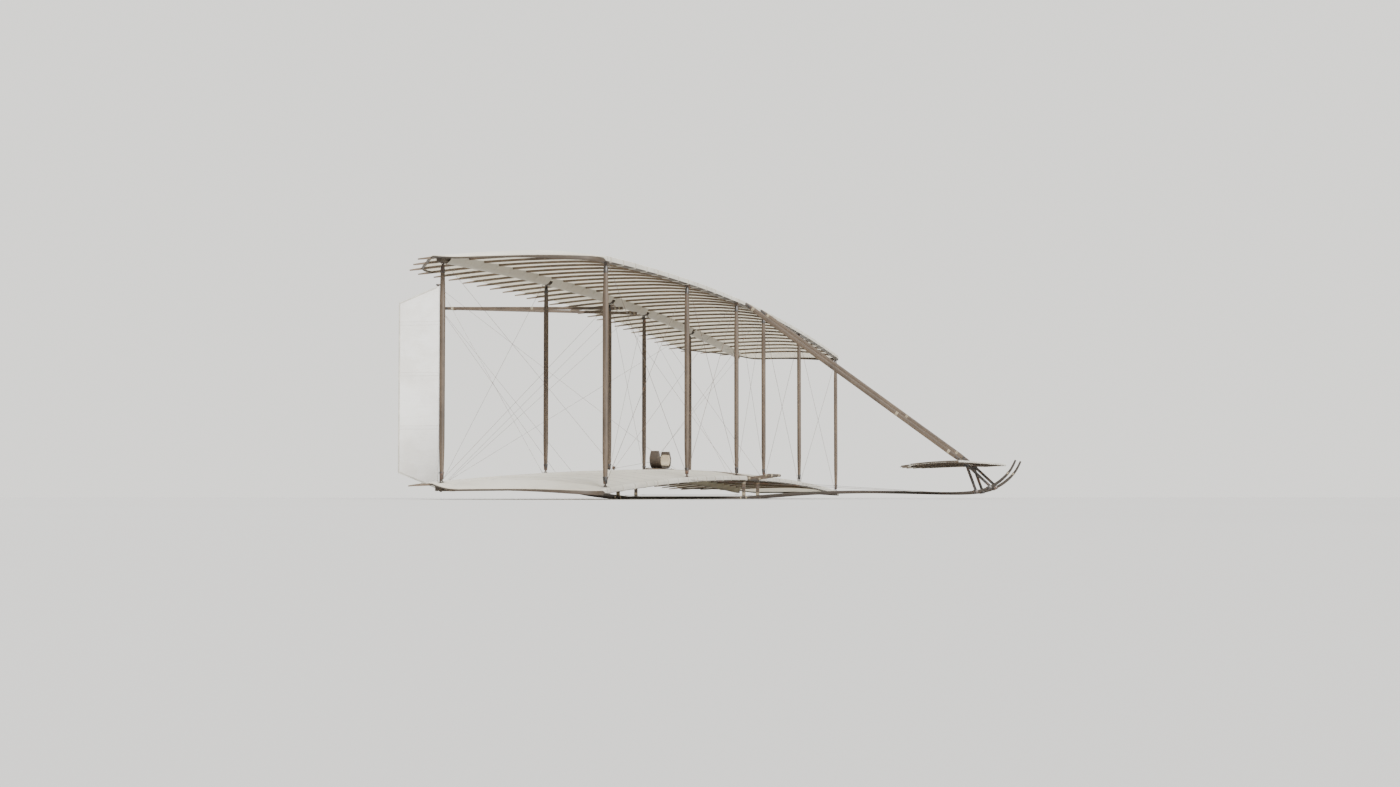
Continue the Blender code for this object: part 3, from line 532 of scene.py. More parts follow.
weave_group, takes, gives = new_group(
    "plain_weave", [("Place", "Vector", None), ("Threads", "Float", 1300.0)],
    [("Height", "Float"), ("Slub", "Float")])
parts = put(weave_group, "SeparateXYZ", {0: takes["Place"]}).outputs
turns = maths(weave_group, "MULTIPLY", takes["Threads"], 2 * math.pi)
warp = maths(weave_group, "SINE", maths(weave_group, "MULTIPLY", parts["X"], turns))
weft = maths(weave_group, "SINE", maths(weave_group, "MULTIPLY", parts["Y"], turns))
weave_group.links.new(maths(weave_group, "MULTIPLY", warp, weft), gives["Height"])
slubs = [put(weave_group, "TexNoise", {"Vector": stretched(weave_group, takes["Place"], along, across),
                                       "Scale": 1.0, "Detail": 2.0}).outputs["Fac"]
         for along, across in ((9, 520), (520, 9))]
weave_group.links.new(ramp(weave_group, maths(weave_group, "MAXIMUM", *slubs), 0.52, 0.74), gives["Slub"])

stitch_group, takes, gives = new_group(
    "stitch_row", [("Distance", "Float", 0.0), ("Along", "Float", 0.0), ("Pitch", "Float", 0.009)],
    [("Mask", "Float")])
near = maths(stitch_group, "LESS_THAN", maths(stitch_group, "ABSOLUTE", takes["Distance"]), 0.0009)
beat = maths(stitch_group, "FRACT", maths(stitch_group, "DIVIDE", takes["Along"], takes["Pitch"]))
stitch_group.links.new(maths(stitch_group, "MULTIPLY", near, maths(stitch_group, "LESS_THAN", beat, 0.62)),
                       gives["Mask"])


def muslin_finish(name, pale, shade, through, light=0.42):
    """Muslin that lets light through. It reads two maps: weave, in metres along the threads, and ribs,
    which is (distance from the nearest rib, distance along it)."""
    finish, tree, shader = new_material(name)
    threads = put(tree, "UVMap", uv_map="weave").outputs["UV"]
    near_rib = put(tree, "UVMap", uv_map="ribs").outputs["UV"]
    beside, along, _ = put(tree, "SeparateXYZ", {0: near_rib}).outputs
    weave = use_group(tree, weave_group, {"Place": threads})
    off = maths(tree, "ABSOLUTE", beside)
    pocket = maths(tree, "LESS_THAN", off, POCKET)
    over, down, _ = put(tree, "SeparateXYZ", {0: threads}).outputs
    strip = maths(tree, "MODULO", maths(tree, "ADD", over, 40.0), STRIP)
    seam = maths(tree, "LESS_THAN", strip, 0.014)
    rows = use_group(tree, stitch_group, {"Distance": maths(tree, "SUBTRACT", off, POCKET - 0.003),
                                          "Along": along})
    seam_rows = use_group(tree, stitch_group, {"Distance": maths(tree, "SUBTRACT", strip, 0.003),
                                               "Along": down})
    sewn = maths(tree, "MAXIMUM", rows["Mask"], seam_rows["Mask"])
    layers = maths(tree, "MAXIMUM", pocket, seam)
    world_place = object_place(tree)
    mottle = put(tree, "TexNoise", {"Vector": world_place, "Scale": 1.7, "Detail": 5.0, "Roughness": 0.6})
    soiled = use_group(tree, wear_group, {"Place": world_place, "Size": 2.6, "Cover": 0.36})["Mask"]
    tone = mix_colour(tree, ramp(tree, mottle.outputs["Fac"], 0.32, 0.68), shade, pale)
    tone = mix_colour(tree, maths(tree, "MULTIPLY", weave["Slub"], 0.22), tone, shade)
    tone = mix_colour(tree, maths(tree, "MULTIPLY", soiled, 0.20), tone, SOIL)
    # Painted shade: the base colour darkens where the cloth lies doubled over the rib pockets and at the
    # seams, for the lines that show through it against the light.
    tone = mix_colour(tree, maths(tree, "MULTIPLY", layers, 0.16), tone, shade)
    tone = mix_colour(tree, sewn, tone, THREAD)
    tree.links.new(tone, shader.inputs["Base Color"])
    shader.inputs["Roughness"].default_value = 0.94
    shader.inputs["Sheen Weight"].default_value = 0.12
    wrinkle = put(tree, "TexNoise", {"Vector": stretched(tree, threads, 3.0, 16.0), "Scale": 1.0,
                                     "Detail": 3.0, "Distortion": 0.7})
    heights = maths(tree, "ADD", maths(tree, "MULTIPLY", weave["Height"], 0.00016),
                    maths(tree, "MULTIPLY", wrinkle.outputs["Fac"], 0.0060))
    heights = maths(tree, "ADD", heights, maths(tree, "MULTIPLY", layers, 0.0008))
    heights = maths(tree, "SUBTRACT", heights, maths(tree, "MULTIPLY", sewn, 0.0008))
    bump = put(tree, "Bump", {"Height": heights, "Strength": 0.55, "Distance": 1.0}).outputs["Normal"]
    tree.links.new(bump, shader.inputs["Normal"])
    glow = put(tree, "BsdfTranslucent", {"Normal": bump})
    doubled = shaded(through, 0.72)
    tree.links.new(mix_colour(tree, layers, through, doubled), glow.inputs["Color"])
    both = put(tree, "MixShader", {0: light, 1: shader.outputs[0], 2: glow.outputs[0]})
    tree.links.new(both.outputs[0], tree.nodes["Material Output"].inputs["Surface"])
    return finish


def grid_piece(name, grid, thick, finish, weave, ribs, body="airframe", replaced=(), holes=()):
    """A cloth from a grid of points, columns of rows, thickened both ways, open at the named quads. weave
    and ribs give the two maps' values at a column and row."""
    columns, rows = len(grid), len(grid[0])
    points = []
    for layer in (0.5, -0.5):
        for column in range(columns):
            for row in range(rows):
                wide = grid[min(column + 1, columns - 1)][row] - grid[max(column - 1, 0)][row]
                long = grid[column][min(row + 1, rows - 1)] - grid[column][max(row - 1, 0)]
                facing = wide.cross(long)
                facing = facing.normalized() if facing.length > 1e-12 else Vector(UP)
                points.append(grid[column][row] + facing * layer * thick)
    under = columns * rows
    kept = {(column, row) for column in range(columns - 1) for row in range(rows - 1)} - set(holes)
    faces, corners = [], []

    def add(*places):
        faces.append(tuple(column * rows + row + under * below for column, row, below in places))
        corners.extend((column, row) for column, row, _ in places)

    for column, row in sorted(kept):
        a, b, c, d = (column, row), (column + 1, row), (column + 1, row + 1), (column, row + 1)
        add((*a, 0), (*b, 0), (*c, 0), (*d, 0))
        add((*a, 1), (*d, 1), (*c, 1), (*b, 1))
        for start, end, beyond in ((a, b, (column, row - 1)), (b, c, (column + 1, row)),
                                   (c, d, (column, row + 1)), (d, a, (column - 1, row))):
            if beyond not in kept:
                add((*start, 1), (*end, 1), (*end, 0), (*start, 0))
    used = sorted({index for face in faces for index in face})
    renumbered = {index: place for place, index in enumerate(used)}
    mesh = bpy.data.meshes.new(name)
    mesh.from_pydata([points[index] for index in used], [],
                     [[renumbered[index] for index in face] for face in faces])
    for label, reading in (("weave", weave), ("ribs", ribs)):
        values = mesh.uv_layers.new(name=label)
        values.data.foreach_set("uv", [number for column, row in corners
                                       for number in reading(column, row)])
    return place_piece(name, mesh, finish, body, replaced, 50)


def wing_columns(inner, outer, middle_rib):
    """The cloth's columns: (span, distance from the nearest rib, share of the way across its bay)."""
    ribs = rib_spans(middle_rib)
    marks = [inner] + [span for span in ribs if inner < span < outer] + [outer]
    columns = []
    for low, high in zip(marks, marks[1:]):
        if high - low < 2 * POCKET:
            continue
        for step in range(BAY_STEPS):
            share = step / BAY_STEPS
            eased = share - math.sin(2 * math.pi * share) * 0.07
            columns.append((low + (high - low) * eased, eased))
    columns.append((outer, 1.0))
    return [(span, min((span - rib for rib in ribs), key=abs), share) for span, share in columns]


def wing_cloth(name, level, inner, outer, middle_rib, node, finish):
    """One cloth, drawn over the ribs, that sags and ripples a little between them."""
    columns = wing_columns(inner, outer, middle_rib)
    grid, spans = [], []
    for span, nearest, bay in columns:
        front, rear = read_along(front_edge, abs(span)), read_along(rear_edge, abs(span))
        dip = math.sin(math.pi * bay)
        rear -= SCALLOP * dip * (abs(span) < TIP_CURVE[-1][0])
        wrap = 1 - 0.9 * held((abs(span) - PLANED_FROM - 0.01) / 0.060)
        start = NOSE_WRAP[-1][0] * wrap + front
        line = []
        for row, height in NOSE_WRAP:
            over = max(surface(span, front), spar_top(span) * (front < 0.02)) + ON_RIB
            line.append(on_wing(span, front + row * wrap, (height - NOSE_WRAP[-1][1]) * wrap
                                + max(over, NOSE_WRAP[-1][1] * (wrap > 0.999)) + level))
        for step in range(1, CHORD_STEPS + 1):
            share = step / CHORD_STEPS
            row = start + (rear - start) * (share - math.sin(2 * math.pi * share) * 0.03)
            beyond = max(0.0, row - FRONT_SPAR["row"] - FRONT_SPAR["wide"] / 2)
            lift = max(surface(span, row) + ON_RIB, spar_top(span) + 0.0016 - beyond * 0.35 - (row > 0.16))
            taut = held((row - start) / 0.16)
            sag = SAG * dip * taut * (0.8 + 0.4 * noise.noise(Vector((span * 2.1, row * 1.3, level))))
            where = Vector((span * 7 + row * 5, row * 2.5 - span * 2, level * 3))
            ripple = RIPPLE * noise.noise(where) * taut
            line.append(on_wing(span, row, lift - sag + ripple * dip + level))
        grid.append(line)
        spans.append((span, nearest))

    def weave(column, row):
        point = grid[column][row]
        side = 1 if point.x > 0 else -1
        return ((point.y + side * point.x) * math.sqrt(0.5), (point.y - side * point.x) * math.sqrt(0.5))

    def ribs(column, row):
        return spans[column][1], grid[column][row].y - LEADING_EDGE

    made = grid_piece(name, grid, CLOTH, finish, weave, ribs, replaced=[node])


upper_muslin = muslin_finish("upper_wing_muslin", MUSLIN, MUSLIN_SHADE, MUSLIN_THROUGH)
lower_muslin = muslin_finish("lower_wing_muslin", MUSLIN, MUSLIN_SHADE, MUSLIN_THROUGH, 0.50)
CLOTH_TIP = HALF_SPAN - 0.0005
CLOTH_INNER = INNER_RIB - 0.007
wing_cloth("upper_wing_cloth", WING_GAP, -CLOTH_TIP, CLOTH_TIP, True, "upper_wing_cover", upper_muslin)
wing_cloth("lower_wing_cloth_port", 0.0, CLOTH_INNER, CLOTH_TIP, False, "lower_wing_cover_port",
           lower_muslin)
wing_cloth("lower_wing_cloth_starboard", 0.0, -CLOTH_TIP, -CLOTH_INNER, False, "lower_wing_cover_starboard",
           lower_muslin)


# Small work on the wings: a cloth band round the leading edge at each rib's nose, cloth sleeves that
# hold the rear spar up under the ribs, and waxed thread that laces each rib to the cloth.
BAND_WIDE, BAND_THICK = 0.030, 0.0009
SLEEVE_REACH = 0.052
SLEEVE_THICK = 0.0009
LACE_ROWS = (0.16, 0.30, 0.44, 0.58, 0.72, 0.86, 1.14, 1.28, 1.40)
LACE_CORD = 0.0018
CORD_COLOUR = (0.43, 0.36, 0.25, 1)
TAPE_PALE, TAPE_SHADE = (0.66, 0.62, 0.53, 1), (0.56, 0.51, 0.42, 1)
BESIDE_RIB = 0.009


def cord_finish(name, colour):
    """Waxed linen thread, its twist as a slanting bump and as painted shade in the twist's grooves."""
    finish, tree, shader = new_material(name)
    along, around, _ = put(tree, "SeparateXYZ", {0: grain_place(tree)}).outputs
    slant = maths(tree, "ADD", maths(tree, "MULTIPLY", along, 2400), maths(tree, "MULTIPLY", around, 1400))
    twist = maths(tree, "ADD", maths(tree, "MULTIPLY", maths(tree, "SINE", slant), 0.5), 0.5)
    grime = use_group(tree, wear_group, {"Place": object_place(tree), "Size": 9.0,
                                         "Cover": 0.45})["Mask"]
    dark = shaded(colour, 0.5)
    # Painted shade: the colour darkens in the twist's grooves.
    twist_shaded = mix_colour(tree, twist, dark, colour)
    tone = mix_colour(tree, maths(tree, "MULTIPLY", grime, 0.6), twist_shaded, dark)
    tree.links.new(tone, shader.inputs["Base Color"])
    shader.inputs["Roughness"].default_value = 0.72
    emboss(tree, shader, twist, 0.5, 0.0006)
    return finish


def ribbon(grids, path, side, wide):
    """A flat strip's grid, its middle along the path and its width along side."""
    half = Vector(side) * wide / 2
    grids.append([[point - half, point + half] for point in path])


def ribbons_piece(name, grids, thick, finish, body="airframe"):
    """Many strips of cloth as one mesh, each thickened, with the same two maps as the large cloths."""
    points, faces, weave, ribs = [], [], [], []
    for grid in grids:
        first, rows = len(points), len(grid[0])
        under = len(grid) * rows
        for layer in (0.5, -0.5):
            for column, line in enumerate(grid):
                for row, point in enumerate(line):
                    along = grid[min(column + 1, len(grid) - 1)][row] - grid[max(column - 1, 0)][row]
                    facing = (line[-1] - line[0]).cross(along).normalized()
                    points.append(point + facing * layer * thick)
        run = 0.0
        for column in range(len(grid) - 1):
            step = (grid[column + 1][0] - grid[column][0]).length
            for row in range(rows - 1):
                a = first + column * rows + row
                quads = [(a, a + 1, a + rows + 1, a + rows),
                         (a + under, a + under + rows, a + under + rows + 1, a + under + 1)]
                if row == 0:
                    quads.append((a, a + rows, a + rows + under, a + under))
                if row == rows - 2:
                    quads.append((a + 1, a + 1 + under, a + 1 + rows + under, a + 1 + rows))
                if column == 0:
                    quads.append((a, a + under, a + 1 + under, a + 1))
                if column == len(grid) - 2:
                    quads.append((a + rows, a + rows + 1, a + rows + 1 + under, a + rows + under))
                for quad in quads:
                    faces.append(quad)
                    beyond = (a + rows, a + rows + 1)
                    weave += [(run + step * (index in beyond), row * 0.03) for index in quad]
                    ribs += [(0.05, run)] * 4
            run += step
    mesh = bpy.data.meshes.new(name)
    mesh.from_pydata(points, [], faces)
    for label, pairs in (("weave", weave), ("ribs", ribs)):
        mesh.uv_layers.new(name=label).data.foreach_set("uv", [number for pair in pairs for number in pair])
    return place_piece(name, mesh, finish, body, (), 50)


def tape_runs():
    """The tape's runs round a tip: from the front corner to the outermost rib, then one for each bay."""
    runs = [tip_front[2:] + tip_side + [point for point in tip_rear if point.x > TIP_RIB + BESIDE_RIB]]
    ribs = [span for span in rib_spans(False) if span > TIP_CURVE[-1][0] - 0.001]
    for inner, outer in zip(ribs, ribs[1:]):
        spans = [outer - BESIDE_RIB - (outer - inner - 2 * BESIDE_RIB) * step / 14 for step in range(15)]
        runs.append([Vector((span, read_along(rear_edge, span), 0)) for span in spans])
    return runs


def tip_tapes(name, level):
    """A tape over the cloth's edge round each bow, sewn down on its outer face between the ribs."""
    grids = []
    for side, outline in [(side, run) for side in (-1, 1) for run in tape_runs()]:
        grid = []
        for number, point in enumerate(outline):
            along = outline[min(number + 1, len(outline) - 1)] - outline[max(number - 1, 0)]
            outward = Vector((along.y, -along.x, 0)).normalized()
            top = surface(point.x, point.y) + ON_RIB + CLOTH
            line = []
            for out, rise in ((-0.0135, 0.0004), (-0.0060, 0.0006), (-0.0004, 0.0003), (0.0012, -0.0012),
                              (0.0013, -0.0040)):
                spot = point + outward * out
                line.append(on_wing(side * spot.x, spot.y, top + rise + level))
            grid.append(line[::side])
        grids.append(grid)
    made = ribbons_piece(name, grids, BAND_THICK, tape_muslin)


def nose_bands(name, level, middle_rib):
    """A strip sewn round the leading edge at the nose of each rib."""
    grids = []
    low = FRONT_SPAR["height"] - FRONT_SPAR["deep"] / 2 - BAND_THICK
    wrap = ((-0.0012, 0.0065), (-0.0029, 0.001), (-0.0031, -0.008), (-0.0029, -0.015), (-0.0014, -0.0218),
            (0.0030, low + 0.0008), (0.014, low), (0.028, low), (0.0405, low), (0.0418, low + 0.006),
            (0.0418, low + 0.018))
    for span in rib_spans(middle_rib):
        if abs(span) < TIP_CORNER[0][0]:
            path = [on_wing(span, row, height + level) for row, height in wrap]
            ribbon(grids, path, ACROSS, BAND_WIDE)
    made = ribbons_piece(name, grids, BAND_THICK, tape_muslin)


def spar_sleeves(name, level, middle_rib, runs, finish):
    """A cloth band sewn under the rear spar and round the ribs, which leaves the joints free."""
    bottom = REAR_SPAR["height"] - REAR_SPAR["deep"] / 2 - 0.0012
    middle, half = REAR_SPAR["row"], REAR_SPAR["wide"] / 2
    ribs = rib_spans(middle_rib)
    grids = []
    for start, end in runs:
        steps = round((end - start) / 0.040)
        spans = {start + (end - start) * step / steps for step in range(steps + 1)}
        beside = {rib + off for rib in ribs for off in (-0.018, -0.009, 0.009, 0.018)}
        spans |= {span for span in beside if start < span < end}
        grid = []
        for span in sorted(spans):
            nearest = min(abs(span - rib) for rib in ribs)
            under = held((0.0185 - nearest) / 0.009)
            belly = SAG * 0.9 * min(1.0, nearest / 0.12)
            pull = 0.008 * (1 - min(1.0, nearest / 0.12))
            fore, aft = middle - SLEEVE_REACH - pull, middle + SLEEVE_REACH + pull
            ends = [surface(span, row) - (belly + 0.0012) * (1 - under) - (RIB_DEEP + 0.0012) * under
                    for row in (fore, aft)]
            line = [(fore, ends[0]), (fore + 0.012, ends[0] - 0.006),
                    (middle - half - 0.014, bottom + 0.014),
                    (middle - half - 0.0015, bottom + 0.0035), (middle - half + 0.004, bottom),
                    (middle, bottom - 0.0003), (middle + half - 0.004, bottom),
                    (middle + half + 0.0015, bottom + 0.0035), (middle + half + 0.014, bottom + 0.012),
                    (aft - 0.012, ends[1] - 0.006), (aft, ends[1])]
            grid.append([on_wing(span, row, height + level) for row, height in line])
        grids.append(grid)
    made = ribbons_piece(name, grids, SLEEVE_THICK, finish)


def rib_lacing(name, level, middle_rib):
    """A loop of thread round each rib at each row, drawn up through the cloth."""
    shape = new_shape()
    for span in rib_spans(middle_rib):
        for row in LACE_ROWS:
            if row > read_along(rear_edge, abs(span)) - 0.03:
                continue
            top, low = camber(row) + ON_RIB + CLOTH * 0.6, camber(row) - RIB_DEEP - LACE_CORD * 0.5
            half = RIB_WIDE / 2 + LACE_CORD * 0.5
            loop = [(-half, top), (-half, (top + low) / 2), (-half * 0.85, low), (half * 0.85, low),
                    (half, (top + low) / 2), (half, top)]
            lean = random.uniform(-0.003, 0.003)
            path = [on_wing(span + across, row + lean * (height - low) / (top - low), height + level)
                    for across, height in loop]
            sweep(shape, path, AFT, circle(5), LACE_CORD, closed=True)
    make_piece(name, shape, linen_thread)


# Painted shade: the sleeves' cloth is darker than the wings' muslin and lets less light through, standing
# in for the rear spar's shadow seen through the cloth; the upper sleeves are the darker.
SHADED_SLEEVE_LOOKS = {"lower": ((0.74, 0.70, 0.62, 1), (0.64, 0.60, 0.51, 1), 0.30),
                "upper": ((0.47, 0.44, 0.38, 1), (0.38, 0.35, 0.29, 1), 0.14)}
shaded_sleeve_muslin = {which: muslin_finish(f"{which}_shaded_sleeve_muslin", pale, shade, MUSLIN_SHADE, light)
                 for which, (pale, shade, light) in SHADED_SLEEVE_LOOKS.items()}
tape_muslin = muslin_finish("tape_muslin", TAPE_PALE, TAPE_SHADE, MUSLIN_SHADE, 0.20)
linen_thread = cord_finish("linen_thread", CORD_COLOUR)
STRUT_PLACES = (0.5855, 2.384, 4.645)
SLEEVE_END, JOINT_GAP = 4.600, 0.042
stops = [0.0]
for span in STRUT_PLACES[:2]:
    stops += [span - JOINT_GAP, span + JOINT_GAP]
stops.append(SLEEVE_END)
upper_runs = [run for low, high in zip(stops[::2], stops[1::2]) for run in ((low, high), (-high, -low))]
sleeve_runs = {"lower": [(0.322, SLEEVE_END), (-SLEEVE_END, -0.322)],
               "upper": [(-stops[1], stops[1])] + upper_runs[2:]}
for which, level, middle_rib in (("lower", 0.0, False), ("upper", WING_GAP, True)):
    nose_bands(f"{which}_wing_nose_bands", level, middle_rib)
    tip_tapes(f"{which}_wing_tip_tapes", level)
    spar_sleeves(f"{which}_wing_spar_sleeves", level, middle_rib, sleeve_runs[which], shaded_sleeve_muslin[which])
    rib_lacing(f"{which}_wing_rib_lacing", level, middle_rib)


# The struts: oval spruce uprights, drawn in at their ends. Each end has an iron ferrule and eye, hooked
# to a bolted plate on the spar, so that the wings can twist.
STRUT_WIDE, STRUT_LONG = 0.024, 0.036
STRUT_TAPER = 0.16
STRUT_POINT = 0.60
FERRULE = 0.046
FRONT_STRUT_ROW = 0.022
PLATE_LONG, PLATE_WIDE, PLATE_THICK = 0.066, 0.032, 0.0022
IRON, RUST = (0.055, 0.052, 0.050, 1), (0.17, 0.075, 0.035, 1)
IRON_ROUGHNESS = 0.46
OVAL = circle(16)
BOLT_HEAD = circle(6)


def iron_finish(name, colour):
    """Blackened iron, scaled and slightly rusty in patches."""
    finish, tree, shader = new_material(name)
    place = object_place(tree)
    scale = put(tree, "TexNoise", {"Vector": place, "Scale": 160.0, "Detail": 4.0}).outputs["Fac"]
    rusty = use_group(tree, wear_group, {"Place": place, "Size": 22.0, "Cover": 0.30})["Mask"]
    bright = shaded(colour, 2.2)
    tone = mix_colour(tree, ramp(tree, scale, 0.35, 0.7), colour, bright)
    tone = mix_colour(tree, maths(tree, "MULTIPLY", rusty, 0.75), tone, RUST)
    tree.links.new(tone, shader.inputs["Base Color"])
    bare = maths(tree, "SUBTRACT", 0.9, maths(tree, "MULTIPLY", rusty, 0.8), True)
    tree.links.new(bare, shader.inputs["Metallic"])
    rough = ramp(tree, scale, 0.3, 0.7, IRON_ROUGHNESS - 0.1, IRON_ROUGHNESS + 0.1)
    rough = maths(tree, "ADD", maths(tree, "MULTIPLY", rusty, 0.32), rough)
    tree.links.new(rough, shader.inputs["Roughness"])
    emboss(tree, shader, scale, 0.25, 0.0008)
    return finish


def bolt(shape, place, up, across=0.009, tall=0.004):
    """A hexagon head with a washer under it and a rounded crown."""
    up = Vector(up).normalized()
    side = Vector(AFT) if abs(up.y) < 0.9 else Vector(ACROSS)
    sweep(shape, [place, place + up * 0.0009], side, circle(12), across * 1.7)
    path = [place + up * height for height in (0.0009, tall * 0.85, tall)]
    sweep(shape, path, side, BOLT_HEAD, [across, across, across * 0.75])


def ring(shape, centre, axis, radius, wire, sides=14):
    """A wire ring round an axis."""
    axis = Vector(axis).normalized()
    first = axis.orthogonal().normalized()
    second = axis.cross(first)
    path = [centre + (first * math.cos(turn) + second * math.sin(turn)) * radius
            for turn in (2 * math.pi * step / sides for step in range(sides))]
    sweep(shape, path, axis, circle(6), wire, closed=True)


def strut_joint(shape, foot, up):
    """The iron at one end of a strut: plate, two bolts, hook eye, ferrule and collar."""
    up = Vector((0, 0, up))
    sweep(shape, [foot + Vector((-PLATE_LONG / 2, 0, 0)) + up * PLATE_THICK / 2,
                  foot + Vector((PLATE_LONG / 2, 0, 0)) + up * PLATE_THICK / 2],
          AFT, cut_square(0.5), PLATE_WIDE, PLATE_THICK)
    for side in (-1, 1):
        bolt(shape, foot + Vector((side * PLATE_LONG * 0.33, 0, 0)) + up * PLATE_THICK, up)
    ring(shape, foot + up * 0.0075, ACROSS, 0.0068, 0.0042)
    ring(shape, foot + up * 0.0135, AFT, 0.0060, 0.0036)
    start, end = foot + up * 0.016, foot + up * (0.016 + FERRULE)
    path = [start, start.lerp(end, 0.10), start.lerp(end, 0.9), end]
    sweep(shape, path, ACROSS, OVAL, [0.010, 0.0172, 0.0205, 0.0195], [0.014, 0.0250, 0.0300, 0.0285])
    sweep(shape, [start.lerp(end, 0.80), start.lerp(end, 0.94)], ACROSS, OVAL, 0.0230, 0.0330)
    middle, reach = start.lerp(end, 0.45), Vector((0.0125, 0, 0))
    sweep(shape, [middle + reach, middle - reach], AFT, circle(8), 0.0042)


strut_wood = wood_finish("strut_wood", SHADED_SPRUCE_PALE, SHADED_SPRUCE_DARK, 0.9)
black_iron = iron_finish("black_iron", IRON)
REAR_TOP = camber(REAR_SPAR["row"]) + ON_RIB + CLOTH
strut_ends = {"front": (FRONT_STRUT_ROW, FRONT_SPAR["height"] + FRONT_SPAR["deep"] / 2 + 0.0034,
                        WING_GAP + FRONT_SPAR["height"] - FRONT_SPAR["deep"] / 2),
              "rear": (REAR_SPAR["row"], REAR_TOP, WING_GAP + REAR_SPAR["height"] - REAR_SPAR["deep"] / 2)}
for which, (row, foot, head) in strut_ends.items():
    joints = new_shape()
    for side, where in SIDES:
        for place, span in zip(("inner", "middle", "outer"), STRUT_PLACES):
            low, high = on_wing(side * span, row, foot), on_wing(side * span, row, head)
            strut_joint(joints, low, 1)
            strut_joint(joints, high, -1)
            stick = new_shape()
            start, end = low + Vector((0, 0, 0.018)), high - Vector((0, 0, 0.018))
            shares = [step / 32 for step in range(33)]
            drawn = [STRUT_POINT + (1 - STRUT_POINT) * min(1.0, min(share, 1 - share) / STRUT_TAPER) ** 0.6
                     for share in shares]
            sweep(stick, [start.lerp(end, share) for share in shares], ACROSS, OVAL,
                  [STRUT_WIDE * part for part in drawn], [STRUT_LONG * part for part in drawn])
            make_piece(f"strut_{which}_{place}_{where}_wood", stick, strut_wood,
                       replaced=[f"strut_{which}_{place}_{where}"])
    make_piece(f"strut_joints_{which}", joints, black_iron)


# The skids: two ash runners, bent up in front by steam, on short posts that are lashed and bolted under
# the spars. The elevator's forked iron standards stand on them.
SKID_X = 0.300
SKID_WIDE, SKID_DEEP = 0.024, 0.022
SKID_LINE = -CHORD_LINE + SKID_DEEP / 2
SKID_FRONT = ((-2.096, 0.130), (-2.060, 0.060), (-2.010, 0.000), (-1.940, -0.055),
              (-1.850, -0.098), (-1.740, -0.118), (-1.570, -0.125), (-1.250, -0.118),
              (-0.850, -0.113), (-0.450, -0.124), (-0.150, -0.145), (0.000, SKID_LINE))
SKID_REAR = ((1.100, SKID_LINE), (1.300, -0.131), (1.500, -0.085))
STRAP_ROWS = (-1.893, -1.790)
HINGE_ROW, HINGE_HEIGHT = -1.720, 0.100
LASH_CORD = 0.0026
# Painted shade: the skids' wood is darker still, standing in for the deeper shade on the skids.
SHADED_SKID_PALE, SHADED_SKID_DARK = (0.075, 0.056, 0.040, 1), (0.036, 0.026, 0.018, 1)


def flat_on_wing(span, row, height):
    """A place in the row frame that doesn't follow the droop."""
    return Vector((span, LEADING_EDGE + row, CHORD_LINE + height))


def lashing(shape, centre, along, side, half_wide, half_deep, turns, cord=LASH_CORD):
    """Turns of cord laid close round a stick of the given half sizes."""
    along = Vector(along).normalized()
    flat = (Vector(side) - along * along.dot(Vector(side))).normalized()
    up = along.cross(flat)
    path = []
    for step in range(turns * 12 + 1):
        turn = 2 * math.pi * step / 12
        across = math.copysign(abs(math.cos(turn)) ** 0.45, math.cos(turn)) * (half_wide + cord * 0.45)
        rise = math.copysign(abs(math.sin(turn)) ** 0.45, math.sin(turn)) * (half_deep + cord * 0.45)
        path.append(centre + flat * across + up * rise + along * cord * (step / 12 - turns / 2) * 0.98)
    sweep(shape, path, along, circle(6), cord)


